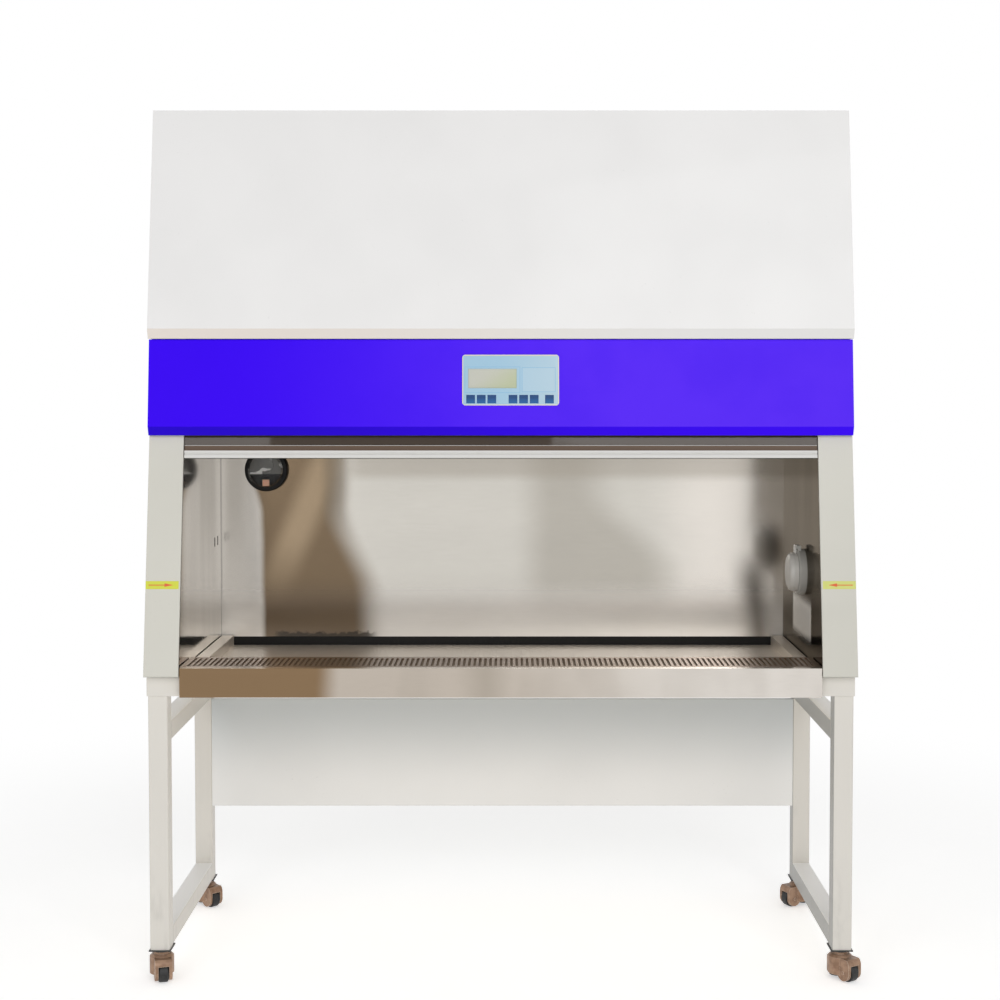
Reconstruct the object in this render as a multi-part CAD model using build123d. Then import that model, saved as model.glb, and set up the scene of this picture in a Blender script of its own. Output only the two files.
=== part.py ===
from build123d import *
import os
from math import atan, cos, radians, sin

# Biosafety cabinet on a castored stand. Millimetres, +Z up, the front faces -Y.
# The origin is on the floor, under the middle of the cabinet.

# ---- driving dimensions: cabinet shell -------------------------------------------------
WIDTH = 1800.0
DEPTH = 760.0
HEIGHT = 2231.0
SHEET = 2.0                       # folded sheet steel
REAR_INSET = 2.0                  # the rear sheet lies in between the side sheets
SHELL_BOTTOM = 786.0              # underside of the side columns, where they are furthest forward
LEAN_RATE = 99.0 / 596.0          # the sash and the columns lean back this much per unit height
COLUMN_WIDTH = 88.0
COLUMN_LIP = 7.0

HALF = WIDTH / 2
FRONT = -DEPTH / 2
REAR = DEPTH / 2
REAR_SKIN = REAR - REAR_INSET
ROOF_UNDER = HEIGHT - SHEET
COLUMN_INNER = HALF - COLUMN_WIDTH
LEAN = atan(LEAN_RATE)
SKIN_RUN = SHEET / cos(LEAN)      # a leaning sheet measured level, front to back

# ---- hood and fascia, as (Y, Z) corners of their outer faces -----------------------------
HOOD_TOP = (-200.0, HEIGHT)
HOOD_BEND = (-297.0, 1665.0)
HOOD_LIP = (-289.0, 1639.5)
HOOD_LIP_RETURN = (-262.0, 1639.5)
FASCIA_TOP = (-276.0, 1638.0)
FASCIA_TOP_RETURN = (-246.0, 1638.0)
FASCIA_BEND = (-302.0, 1416.0)
FASCIA_LIP = (-292.0, 1393.0)
FASCIA_LIP_RETURN = (-286.0, 1393.0)
SEAM = 1.0                        # open joint between neighbouring covers
FLANGE = 30.0                     # folded edges that the roof and rear sheets are screwed to
FASCIA_LEAN = atan((FASCIA_TOP[0] - FASCIA_BEND[0]) / (FASCIA_TOP[1] - FASCIA_BEND[1]))

# ---- work chamber ------------------------------------------------------------------------
CHAMBER_HALF = 818.0              # inner face of the chamber's side walls
BACK_WALL = 303.0
BACK_WALL_BOTTOM = 790.0
CEILING = 1430.0
FILTER_TOP = 1534.0
PLENUM_TOP = 1940.0
FILTER_BAR = 22.0
MEDIA = 6.0
RIM_TOP = 807.0                   # front rim and air grille
TRAY_FLANGE = 795.0
TRAY_REACH = 815.0                # tray flange and grille ends, over the pan's walls
WORK_SURFACE = 767.0
APRON_FRONT = -370.0
RIM_BACK = -350.0
GRILLE_BACK = -185.0
TRAY_HALF = 781.0
TRAY_BACK = 290.0
GRILLE_PITCH = 13.5
GRILLE_SLOT = (6.5, 118.0)
DIFFUSER_FRONT = -240.0
DIFFUSER_PITCH = 42.0
DIFFUSER_SLOT = (12.0, 140.0)
DIFFUSER_ROWS = (-130.0, 32.0, 194.0)
SUPPLY_FRONT = -224.0             # supply filter, lying on the ceiling's frame
SUPPLY_BOTTOM = 1440.0
SENSOR_SLOT = (12.0, 26.0)        # in the left wall, front to back and upright
SENSOR_SLOT_Y = (195.0, 243.0)
SENSOR_SLOT_Z = 1076.0

# ---- base and stand ------------------------------------------------------------------------
BASE_TOP = 780.0
BASE_BOTTOM = 733.0
BASE_HALF = 898.0
BASE_FRONT = -350.0
BASE_REAR = 372.0
BASE_WALL = 3.0
TUBE = 50.0
TUBE_WALL = 2.0
LEG_OUTER = 896.0
LEG_BOTTOM = 79.0
FRONT_LEG_FACE = -346.0
REAR_LEG_FACE = 278.0
UPPER_RAIL_TOP = 662.0
LOWER_RAIL_TOP = LEG_BOTTOM + TUBE
SKIRT_Z = (297.0, 609.5)
SKIRT_FOLD = 20.0

LEG_X = LEG_OUTER - TUBE / 2
FRONT_LEG_Y = FRONT_LEG_FACE + TUBE / 2
REAR_LEG_Y = REAR_LEG_FACE + TUBE / 2

# ---- sash, in the leaning plane: u runs up the slope, v runs into the cabinet ---------------
SASH_REST_U = 557.0               # lower edge of the raised sash
SASH_HEIGHT = 650.0
GLASS_HALF = 845.0
GLASS_V = (8.0, 14.0)
HANDLE_HALF = 810.0
HANDLE_FACE = 21.5
HANDLE_FLANGE = 33.0
HANGER_HEIGHT = 30.0
TRACK_V = (2.0, 17.5)
TRACK_START = 6.0
TRACK_END = 1331.0
TRACK_INNER = 816.0
TRACK_OUTER = 849.0
CABLE_X = 840.0
CABLE_RADIUS = 1.5
PULLEY_U = 1370.0
PULLEY_PITCH_RADIUS = 30.0
PULLEY_RIM = 34.0
PULLEY_WIDTH = 12.0
AXLE_RADIUS = 5.0
RUNNING_FIT = 0.05
WEIGHT_BOTTOM = 835.0
WEIGHT_SIZE = (32.0, 94.0, 385.0)

GLASS_MID_V = sum(GLASS_V) / 2
GLASS_TOP_U = SASH_REST_U + SASH_HEIGHT
WALL_SET = TRACK_V[1] / cos(LEAN)

# ---- control panel, on the fascia ------------------------------------------------------------
PANEL_CENTRE_X = 25.0
PANEL_CENTRE_U = 118.8            # up the fascia from its bend
PANEL_SIZE = (247.0, 130.0, 2.0)
LCD_CENTRE = (-46.5, 4.0)
LCD_SIZE = (128.0, 54.0)
KEY_SIZE = (21.5, 21.0, 1.5)
KEY_GAP = 0.4
KEY_ROW = -49.0
KEY_PITCH = 27.0
KEY_COLUMNS = [-102.0, -102.0 + KEY_PITCH, -102.0 + 2 * KEY_PITCH,
               6.0, 6.0 + KEY_PITCH, 6.0 + 2 * KEY_PITCH, 99.0]
KEY_LIFT = 0.8

# ---- chamber sockets --------------------------------------------------------------------------
SOCKET_RADIUS = 62.0
SOCKET_RING = 13.0                # width of the body's solid rim
SOCKET_BASE = 20.0
SOCKET_LID = 24.0
LID_RADIUS = 52.0
LID_WALL = 2.5
LID_SHOULDER = 12.0               # the lid's rim is drawn in over this height
LID_GAP = 0.4
OUTLET_UP = 13.0
ROCKER_DOWN = 37.0
SOCKET_PIN_UP = 68.0
PIN_RADIUS = 2.0
KNUCKLE_RADIUS = 4.0
KNUCKLE_WIDTH = 23.0
EAR_X = 16.0
EAR_WIDTH = 8.0
BACK_SOCKET = (-684.0, 1277.0)    # X, Z on the back wall
SIDE_SOCKET = (-44.0, 1017.0)     # Y, Z on the right wall

# ---- power inlet, in the rear sheet --------------------------------------------------------------
INLET_X = 700.0
INLET_Z = 1750.0
INLET_HOLE = (48.0, 28.0)
INLET_FLANGE = (60.0, 40.0)
INLET_MOUTH = (40.0, 20.0)
INLET_DEPTH = 30.0

# ---- casters -----------------------------------------------------------------------------------
WHEEL_RADIUS = 25.0
WHEEL_WIDTH = 24.0
WHEEL_TRAIL = 32.0
FORK_HALF = 22.0
HOUSING_RADIUS = 31.0
HOUSING_Z = (16.0, 66.0)
SWIVEL_TOP = 71.7
FOOT_TRAIL = 13.0
FOOT_RADIUS = 18.0
CASTERS = {                       # name: (X, Y, angle of the wheel's side from -Y towards +X)
    "front_left": (-LEG_X, FRONT_LEG_Y, 17.0),
    "front_right": (LEG_X, FRONT_LEG_Y, 34.0),
    "rear_left": (-LEG_X, REAR_LEG_Y, 45.0),
    "rear_right": (LEG_X, REAR_LEG_Y, -62.0),
}

# ---- blower -------------------------------------------------------------------------------------
EXHAUST_HALF = 420.0              # exhaust filter and the guard over it
EXHAUST_Y = (-90.0, 295.0)
EXHAUST_FILTER_TOP = 2090.0
ROOF_OPENING = (405.0, -75.0, 280.0)   # half width, front and back
GUARD_PITCH = 30.0
GUARD_SLOT = (14.0, 134.0)
GUARD_ROWS = (26.0, 179.0)
BLOWER_Z = 1730.0
BLOWER_BACK = BACK_WALL - SHEET   # its inlet plate lies on the plenum's rear wall
BLOWER_WIDTH = 120.0
IMPELLER_RADIUS = 115.0
IMPELLER_WIDTH = 84.0
INLET_RADIUS = 88.0
BLADES = 24
SHAFT_RADIUS = 8.0
SHAFT_HOLE = 12.0
SCROLL_GAP = 20.0                 # between impeller and casing where the scroll starts
SCROLL_GROWTH = 45.0              # and how much more where it ends
SCROLL_TURN = 300.0
MOTOR_RADIUS = 62.0
MOTOR_LENGTH = 95.0

FRONT_PLANE = Plane(origin=(0, FRONT, SHELL_BOTTOM), x_dir=(1, 0, 0),
                    z_dir=(0, -cos(LEAN), sin(LEAN)))
FASCIA_PLANE = Plane(origin=(0, *FASCIA_BEND), x_dir=(1, 0, 0),
                     z_dir=(0, -cos(FASCIA_LEAN), sin(FASCIA_LEAN)))


# ---- helpers -------------------------------------------------------------------------------------
def seam_y(z):
    """Y of the leaning front plane at height z."""
    return FRONT + (z - SHELL_BOTTOM) * LEAN_RATE


def block(x0, x1, y0, y1, z0, z1):
    return Pos((x0 + x1) / 2, (y0 + y1) / 2, (z0 + z1) / 2) * Box(x1 - x0, y1 - y0, z1 - z0)


def leaning(x0, x1, u0, u1, v0, v1):
    """Block set along the leaning front."""
    return FRONT_PLANE * block(x0, x1, u0, u1, -v1, -v0)


def prism(outline, x0, x1):
    """Solid with a (Y, Z) outline, running from x0 to x1."""
    return extrude(Plane.YZ.offset(x0) * Polygon(*outline, align=None), amount=x1 - x0, dir=(1, 0, 0))


def folded(path, x0, x1):
    """Sheet bent along a (Y, Z) path, its thickness on the left of the path."""
    line = Polyline(*path)
    section = make_face(offset(line, SHEET, kind=Kind.INTERSECTION, side=Side.LEFT))
    return extrude(Plane.YZ.offset(x0) * section, amount=x1 - x0, dir=(1, 0, 0))


def both(part):
    """The part and its mirror image on the other side."""
    return [part, mirror(part, Plane.YZ)]


def row(count, pitch):
    """Positions of a centred row."""
    return [(i - (count - 1) / 2) * pitch for i in range(count)]


def slots(places, size, z0, z1):
    """Upright-walled slots at the (X, Y) places, for cutting a level sheet."""
    sketch = Sketch() + [Pos(x, y) * Rectangle(*size) for x, y in places]
    return extrude(Plane.XY.offset(z0) * sketch, amount=z1 - z0)


def save(node, *parts):
    """Write one sub-part, with all its separate solids."""
    solids = [solid for part in parts for solid in part.solids()]
    export_step(solids[0] if len(solids) == 1 else Compound(solids), f"parts/{node}.step")


# ---- outer shell -------------------------------------------------------------------------------
def side_panel():
    """Right side: flat side sheet folded round the front column, with flanges for its neighbours."""
    low, high = SHELL_BOTTOM, ROOF_UNDER
    column_top = HEIGHT - 6
    side = prism([(seam_y(low), low), (seam_y(high), high), (REAR, high), (REAR, low)],
                 HALF - SHEET, HALF)
    column = prism([(seam_y(low), low), (seam_y(column_top), column_top),
                    (seam_y(column_top) + SKIN_RUN, column_top), (seam_y(low) + SKIN_RUN, low)],
                   COLUMN_INNER, HALF)
    lip_top = FASCIA_TOP[1]
    lip = prism([(seam_y(low), low), (seam_y(lip_top), lip_top),
                 (seam_y(lip_top) + COLUMN_LIP, lip_top), (seam_y(low) + COLUMN_LIP, low)],
                COLUMN_INNER, COLUMN_INNER + SHEET)
    inside = REAR_SKIN - SHEET
    sole = block(COLUMN_INNER, HALF, seam_y(low), inside, low, low + SHEET)
    rear_flange = block(HALF - FLANGE, HALF, inside - SHEET, inside, low, high)
    roof_flange = block(HALF - FLANGE, HALF, seam_y(high), inside, high - SHEET, high)
    return side + column + lip + sole + rear_flange + roof_flange


def roof_panel():
    roof = block(-HALF, HALF, seam_y(HEIGHT), REAR, ROOF_UNDER, HEIGHT)
    half, front, back = ROOF_OPENING
    return roof - block(-half, half, front, back, ROOF_UNDER - 1, HEIGHT + 1)


def inlet_block(size, low, high):
    """Block round the power inlet's axis, from low to high behind the rear sheet's face."""
    width, height = size
    return block(INLET_X - width / 2, INLET_X + width / 2, REAR_SKIN + low, REAR_SKIN + high,
                 INLET_Z - height / 2, INLET_Z + height / 2)


def rear_panel():
    skin = block(-HALF + SHEET, HALF - SHEET, REAR_SKIN - SHEET, REAR_SKIN, SHELL_BOTTOM, ROOF_UNDER)
    return skin - inlet_block(INLET_HOLE, -SHEET - 1, 1)


def hood_front_panel():
    """White access cover: folded front with cheeks that meet the side panels."""
    top_back = seam_y(HEIGHT) - SEAM
    skin = folded([HOOD_LIP_RETURN, HOOD_LIP, HOOD_BEND, HOOD_TOP, (top_back, HEIGHT)][::-1],
                  -HALF, HALF)
    lip_back = seam_y(HOOD_LIP[1]) - SEAM
    cheek = prism([HOOD_TOP, HOOD_BEND, HOOD_LIP, (lip_back, HOOD_LIP[1]), (top_back, HEIGHT)],
                  HALF - SHEET, HALF)
    return skin + both(cheek)


def control_fascia():
    """Blue cover over the sash pocket, pierced for the display."""
    skin = folded([FASCIA_TOP_RETURN, FASCIA_TOP, FASCIA_BEND, FASCIA_LIP, FASCIA_LIP_RETURN],
                  -HALF, HALF)
    top, low = FASCIA_TOP[1], FASCIA_LIP[1]
    cheek = prism([FASCIA_TOP, FASCIA_BEND, FASCIA_LIP, (seam_y(low) - SEAM, low),
                   (seam_y(top) - SEAM, top)], HALF - SHEET, HALF)
    window = panel_block(LCD_CENTRE, LCD_SIZE, -10, 10)
    return skin + both(cheek) - window


# ---- control panel -------------------------------------------------------------------------------
def panel_block(centre, size, low, high):
    """Block on the fascia at a place on the control panel, from low to high off its face."""
    x = PANEL_CENTRE_X + centre[0]
    u = PANEL_CENTRE_U + centre[1]
    return FASCIA_PLANE * Pos(x, u, (low + high) / 2) * Box(size[0], size[1], high - low)


def control_overlay():
    width, height, thick = PANEL_SIZE
    place = FASCIA_PLANE * Pos(PANEL_CENTRE_X, PANEL_CENTRE_U, 0)
    sheet = extrude(place * RectangleRounded(width, height, 8), amount=thick)
    hole = (KEY_SIZE[0] + 2 * KEY_GAP, KEY_SIZE[1] + 2 * KEY_GAP)
    for x in KEY_COLUMNS:
        sheet -= panel_block((x, KEY_ROW), hole, -1, thick + 1)
    return sheet - panel_block(LCD_CENTRE, (LCD_SIZE[0] - 4, LCD_SIZE[1] - 4), -1, thick + 1)


def membrane_key(x):
    return panel_block((x, KEY_ROW), KEY_SIZE[:2], KEY_LIFT, KEY_LIFT + KEY_SIZE[2])


def display_board():
    """Circuit board on stand-offs behind the fascia, with the display module on it."""
    glass = panel_block(LCD_CENTRE, (LCD_SIZE[0] - 1, LCD_SIZE[1] - 1), -12, -0.2)
    board = panel_block((0, 0), (210, 96), -14, -12)
    posts = [panel_block((x, y), (7, 7), -12, -SHEET) for x in (-98, 98) for y in (-41, 41)]
    return glass + board + posts


# ---- chamber -------------------------------------------------------------------------------------
def chamber_back_wall():
    return block(-CHAMBER_HALF, CHAMBER_HALF, BACK_WALL, BACK_WALL + SHEET,
                 BACK_WALL_BOTTOM, FILTER_TOP)


def chamber_side_wall():
    """Right wall of the work chamber, its front edge against the sash track."""
    low, high = SHELL_BOTTOM + SHEET, FILTER_TOP
    back = BACK_WALL + SHEET
    return prism([(seam_y(low) + WALL_SET, low), (seam_y(high) + WALL_SET, high),
                  (back, high), (back, low)], CHAMBER_HALF, CHAMBER_HALF + SHEET)


def chamber_side_walls():
    right, left = both(chamber_side_wall())
    for y in SENSOR_SLOT_Y:
        left -= Pos(-CHAMBER_HALF, y, SENSOR_SLOT_Z) * Box(20, *SENSOR_SLOT)
    return [left, right]


def drain_pan():
    """Stainless trough under the work surface; its front is the visible apron."""
    pan_half = COLUMN_INNER - 1
    seat = TRAY_FLANGE - SHEET
    pan = block(-pan_half, pan_half, APRON_FRONT, BACK_WALL - 3, BASE_BOTTOM, seat)
    pan -= block(-pan_half + SHEET, pan_half - SHEET, APRON_FRONT + SHEET, BACK_WALL - 5,
                 BASE_BOTTOM + SHEET, seat + 1)
    pan -= block(-pan_half - 1, pan_half + 1, TRAY_BACK - 20, BACK_WALL, WORK_SURFACE - 12, seat + 1)
    apron = block(-pan_half, pan_half, APRON_FRONT, APRON_FRONT + SHEET, BASE_BOTTOM, RIM_TOP)
    rim = block(-pan_half, pan_half, APRON_FRONT, RIM_BACK, RIM_TOP - SHEET, RIM_TOP)
    hem = block(-pan_half, pan_half, RIM_BACK - SHEET, RIM_BACK, RIM_TOP - 14, RIM_TOP)
    ends = both(block(pan_half - SHEET, pan_half, APRON_FRONT, RIM_BACK, BASE_BOTTOM, RIM_TOP))
    return pan + apron + rim + hem + ends


def front_air_grille():
    """Slotted intake grille behind the rim, folded down on to the work tray."""
    half = TRAY_REACH
    front, back = RIM_BACK, GRILLE_BACK
    skin = block(-half, half, front, back, RIM_TOP - SHEET, RIM_TOP)
    fold = block(-half, half, back - SHEET, back, TRAY_FLANGE, RIM_TOP)
    ends = both(block(half - 3 * SHEET, half, front, back - 12, TRAY_FLANGE - SHEET, RIM_TOP))
    count = int(2 * half / GRILLE_PITCH) - 1
    middle = (front + back) / 2
    holes = slots([(x, middle) for x in row(count, GRILLE_PITCH)], GRILLE_SLOT,
                  RIM_TOP - 5, RIM_TOP + 1)
    return skin + fold + ends - holes


def work_tray():
    """One-piece recessed work surface with side flanges that rest on the pan."""
    half = TRAY_REACH
    depth = TRAY_FLANGE - WORK_SURFACE
    front = GRILLE_BACK - 12
    flange = block(-half, half, front, TRAY_BACK, TRAY_FLANGE - SHEET, TRAY_FLANGE)
    dish = block(-TRAY_HALF - SHEET, TRAY_HALF + SHEET, GRILLE_BACK - SHEET, TRAY_BACK,
                 WORK_SURFACE - SHEET, TRAY_FLANGE)
    hollow = block(-TRAY_HALF, TRAY_HALF, GRILLE_BACK, TRAY_BACK + 1,
                   WORK_SURFACE, WORK_SURFACE + depth + 1)
    return flange + dish - hollow


def supply_diffuser():
    """Perforated ceiling of the chamber."""
    panel = block(-CHAMBER_HALF, CHAMBER_HALF, DIFFUSER_FRONT, BACK_WALL, CEILING, CEILING + SHEET)
    count = int(2 * CHAMBER_HALF / DIFFUSER_PITCH)
    places = [(x, y) for x in row(count, DIFFUSER_PITCH) for y in DIFFUSER_ROWS]
    return panel - slots(places, DIFFUSER_SLOT, CEILING - 1, CEILING + SHEET + 1)


def filter_unit(half, y0, y1, z0, z1):
    """Boxed filter: a frame round a sheet of media at half height."""
    inner, front, back = half - FILTER_BAR, y0 + FILTER_BAR, y1 - FILTER_BAR
    middle = (z0 + z1) / 2
    frame = block(-half, half, y0, y1, z0, z1) - block(-inner, inner, front, back, z0 - 1, z1 + 1)
    media = block(-inner, inner, front, back, middle - MEDIA / 2, middle + MEDIA / 2)
    return frame + media


def fan_plenum():
    """Pressure box over the supply filter; its front leans with the sash."""
    half = CHAMBER_HALF
    low_front = SUPPLY_FRONT - SHEET
    high_front = low_front + (PLENUM_TOP - FILTER_TOP) * LEAN_RATE
    outer = prism([(low_front, FILTER_TOP), (high_front, PLENUM_TOP), (BACK_WALL, PLENUM_TOP),
                   (BACK_WALL, FILTER_TOP)], -half, half)
    inner = prism([(low_front + SKIN_RUN, FILTER_TOP - 1), (high_front + SKIN_RUN, PLENUM_TOP - SHEET),
                   (BACK_WALL - SHEET, PLENUM_TOP - SHEET), (BACK_WALL - SHEET, FILTER_TOP - 1)],
                  -half + SHEET, half - SHEET)
    front, back = EXHAUST_Y
    exhaust = block(-EXHAUST_HALF + 2 * FILTER_BAR, EXHAUST_HALF - 2 * FILTER_BAR,
                    front + 2 * FILTER_BAR, back - 2 * FILTER_BAR, PLENUM_TOP - 5, PLENUM_TOP + 5)
    inlet = Pos(0, BACK_WALL, BLOWER_Z) * Rot(90, 0, 0) * Cylinder(INLET_RADIUS, 20)
    return outer - inner - exhaust - inlet


def exhaust_guard():
    """Collar from the exhaust filter to the roof, closed by a slotted guard."""
    half, (front, back), wall = EXHAUST_HALF, EXHAUST_Y, SHEET + 1
    collar = block(-half, half, front, back, EXHAUST_FILTER_TOP, ROOF_UNDER)
    collar -= block(-half + wall, half - wall, front + wall, back - wall,
                    EXHAUST_FILTER_TOP - 1, ROOF_UNDER - wall)
    count = int(2 * ROOF_OPENING[0] / GUARD_PITCH) - 1
    places = [(x, y) for x in row(count, GUARD_PITCH) for y in GUARD_ROWS]
    return collar - slots(places, GUARD_SLOT, ROOF_UNDER - 10, ROOF_UNDER + 1)


# ---- blower ---------------------------------------------------------------------------------------
def along_y(radius, y0, y1, x=0.0, z=0.0):
    """Cylinder lying along Y."""
    return Pos(x, (y0 + y1) / 2, z) * Rot(90, 0, 0) * Cylinder(radius, y1 - y0)


def along_x(radius, x0, x1, y, z):
    """Cylinder lying along X."""
    return Pos((x0 + x1) / 2, y, z) * Rot(0, 90, 0) * Cylinder(radius, x1 - x0)


def scroll_outline(gap):
    """Spiral blower casing seen along Y, with its outlet pointing down on the left."""
    steps = 18
    points = []
    for step in range(steps + 1):
        reach = IMPELLER_RADIUS + gap + SCROLL_GROWTH * step / steps
        turn = radians(SCROLL_TURN * step / steps)
        points.append((reach * cos(turn), BLOWER_Z + reach * sin(turn)))
    return points


def blower_housing():
    """Scroll casing with a round inlet on the plenum's rear wall."""
    back = BLOWER_BACK
    front = back - BLOWER_WIDTH

    def scroll(gap, low, high):
        face = Plane.XZ.offset(-low) * Polygon(*scroll_outline(gap), align=None)
        return extrude(face, amount=high - low, dir=(0, 1, 0))

    casing = scroll(SCROLL_GAP, front, back) - scroll(SCROLL_GAP - SHEET, front + SHEET, back - SHEET)
    casing -= along_y(INLET_RADIUS, back - 5, back + 5, z=BLOWER_Z)
    return casing - along_y(SHAFT_HOLE, front - 5, front + 5, z=BLOWER_Z)


def blower_motor():
    """Motor can on the front of the casing, open where the shaft enters it."""
    face = BLOWER_BACK - BLOWER_WIDTH
    can = along_y(MOTOR_RADIUS, face - MOTOR_LENGTH, face, z=BLOWER_Z)
    return can - along_y(SHAFT_HOLE, face - 40, face + 1, z=BLOWER_Z)


def blower_impeller():
    """Forward-curved wheel on its shaft."""
    back = BLOWER_BACK - 18
    front = back - IMPELLER_WIDTH
    plate = along_y(IMPELLER_RADIUS, front, front + 3, z=BLOWER_Z)
    ring = (along_y(IMPELLER_RADIUS, back - 4, back, z=BLOWER_Z)
            - along_y(IMPELLER_RADIUS - 20, back - 5, back + 1, z=BLOWER_Z))
    blade = Pos(IMPELLER_RADIUS - 11, (front + back) / 2, BLOWER_Z) * Rot(0, 28, 0)
    blade = blade * Box(20, IMPELLER_WIDTH - 1, 2)
    blades = [Pos(0, 0, BLOWER_Z) * Rot(0, 360 * i / BLADES, 0) * Pos(0, 0, -BLOWER_Z) * blade
              for i in range(BLADES)]
    hub = along_y(22, front - 12, front + 30, z=BLOWER_Z)
    shaft = along_y(SHAFT_RADIUS, front - 45, front + 30, z=BLOWER_Z)
    return plate + ring + hub + shaft + blades


# ---- lamps ----------------------------------------------------------------------------------------
LAMP = {"x": 600.0, "y": -212.0, "z": 1405.0, "radius": 13.0}
UV_LAMP = {"x": 440.0, "y": 272.0, "z": 1385.0, "radius": 8.0}


def lamp_tube(lamp):
    return along_x(lamp["radius"], -lamp["x"], lamp["x"], lamp["y"], lamp["z"])


def lamp_holders():
    """End holders: the lighting tube hangs from the ceiling, the ultraviolet one is on the wall."""
    end, y, z, reach = LAMP["x"], LAMP["y"], LAMP["z"], LAMP["radius"] + 5
    ceiling_holder = block(end, end + reach, y - reach, y + reach, z - reach, CEILING)
    end, y, z, reach = UV_LAMP["x"], UV_LAMP["y"], UV_LAMP["z"], UV_LAMP["radius"] + 5
    wall_holder = block(end, end + reach, y - reach, BACK_WALL, z - reach, z + reach)
    return both(ceiling_holder) + both(wall_holder)


# ---- sash -----------------------------------------------------------------------------------------
def sash_glass():
    return leaning(-GLASS_HALF, GLASS_HALF, SASH_REST_U + 3, GLASS_TOP_U, *GLASS_V)


def sash_rail():
    """Extruded grip rail round the lower edge of the glass."""
    u = SASH_REST_U
    face = leaning(-HANDLE_HALF, HANDLE_HALF, u, u + HANDLE_FACE, 1, GLASS_V[0])
    flange = leaning(-HANDLE_HALF, HANDLE_HALF, u, u + HANDLE_FLANGE, 5, GLASS_V[0])
    back = leaning(-HANDLE_HALF, HANDLE_HALF, u, u + HANDLE_FLANGE, GLASS_V[1], GLASS_V[1] + 2.5)
    foot = leaning(-HANDLE_HALF, HANDLE_HALF, u, u + 3, 1, GLASS_V[1] + 2.5)
    grip = leaning(-HANDLE_HALF - 1, HANDLE_HALF + 1, u + 8, u + 13, 0, 3.5)
    return face + flange + back + foot - grip


def sash_hanger():
    """Clip on the right upper corner of the glass, where the cable is tied."""
    return leaning(GLASS_HALF - 17, GLASS_HALF, GLASS_TOP_U, GLASS_TOP_U + HANGER_HEIGHT, *GLASS_V)


def sash_track():
    """Right guide channel, fixed behind the column."""
    channel = leaning(TRACK_INNER, TRACK_OUTER, TRACK_START, TRACK_END, *TRACK_V)
    return channel - leaning(TRACK_INNER - 1, TRACK_OUTER - 3, TRACK_START - 1, TRACK_END + 1,
                             GLASS_V[0] - 0.6, GLASS_V[1] + 0.6)


def pulley_centre():
    """(Y, Z) of the pulley's axis."""
    v = GLASS_MID_V + PULLEY_PITCH_RADIUS
    return (FRONT + PULLEY_U * sin(LEAN) + v * cos(LEAN),
            SHELL_BOTTOM + PULLEY_U * cos(LEAN) - v * sin(LEAN))


def pulley_bracket():
    """Right bracket: an arm on the side panel that carries the pulley's axle."""
    y, z = pulley_centre()
    arm = block(852, HALF - SHEET, y - 22, y + 22, z - 15, z + 15)
    pad = block(HALF - SHEET - 4, HALF - SHEET, y - 30, y + 30, z - 45, z + 45)
    shoulder = along_x(9, 847, 852, y, z)
    axle = along_x(AXLE_RADIUS, 830, 852, y, z)
    head = along_x(8, 829, 832.5, y, z)
    return arm + pad + shoulder + axle + head


def sash_pulley():
    """Grooved wheel, turned about X."""
    half = PULLEY_WIDTH / 2
    groove = PULLEY_PITCH_RADIUS - CABLE_RADIUS - 0.1
    bore = AXLE_RADIUS + RUNNING_FIT
    section = Polygon((bore, -half), (PULLEY_RIM, -half), (groove, -2), (groove, 2),
                      (PULLEY_RIM, half), (bore, half), align=None)
    wheel = revolve(Plane.XZ * section, axis=Axis.Z)
    y, z = pulley_centre()
    return Pos(CABLE_X, y, z) * Rot(0, 90, 0) * wheel


def sash_cable():
    """Right cable at rest: up from the sash, over the pulley and down to the counterweight."""
    y, z = pulley_centre()
    radius = PULLEY_PITCH_RADIUS
    length = PULLEY_U - GLASS_TOP_U - HANGER_HEIGHT
    tangent = (y - radius * cos(LEAN), z + radius * sin(LEAN))
    start = (tangent[0] - length * sin(LEAN), tangent[1] - length * cos(LEAN))
    rear = (y + radius, z)
    crown = (y, z + radius)
    end = (rear[0], WEIGHT_BOTTOM + WEIGHT_SIZE[2])
    route = Line(start, tangent) + ThreePointArc(tangent, crown, rear) + Line(rear, end)
    path = (Plane.YZ.offset(CABLE_X) * route).wire()
    return sweep(Plane(path @ 0, z_dir=path % 0) * RegularPolygon(CABLE_RADIUS, 6), path=path)


def counterweight():
    """Right bar that balances half the sash."""
    y = pulley_centre()[0] + PULLEY_PITCH_RADIUS
    width, depth, height = WEIGHT_SIZE
    bar = Pos(CABLE_X, y, WEIGHT_BOTTOM + height / 2) * Box(width, depth, height)
    return chamfer(bar.edges().filter_by(Axis.Z), 5)


# ---- chamber sockets ------------------------------------------------------------------------------
def hinge_rod(radius, width):
    """Round bar on a socket lid's hinge axis."""
    return Pos(0, SOCKET_PIN_UP, SOCKET_BASE + 1) * Rot(0, 90, 0) * Cylinder(radius, width)


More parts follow.
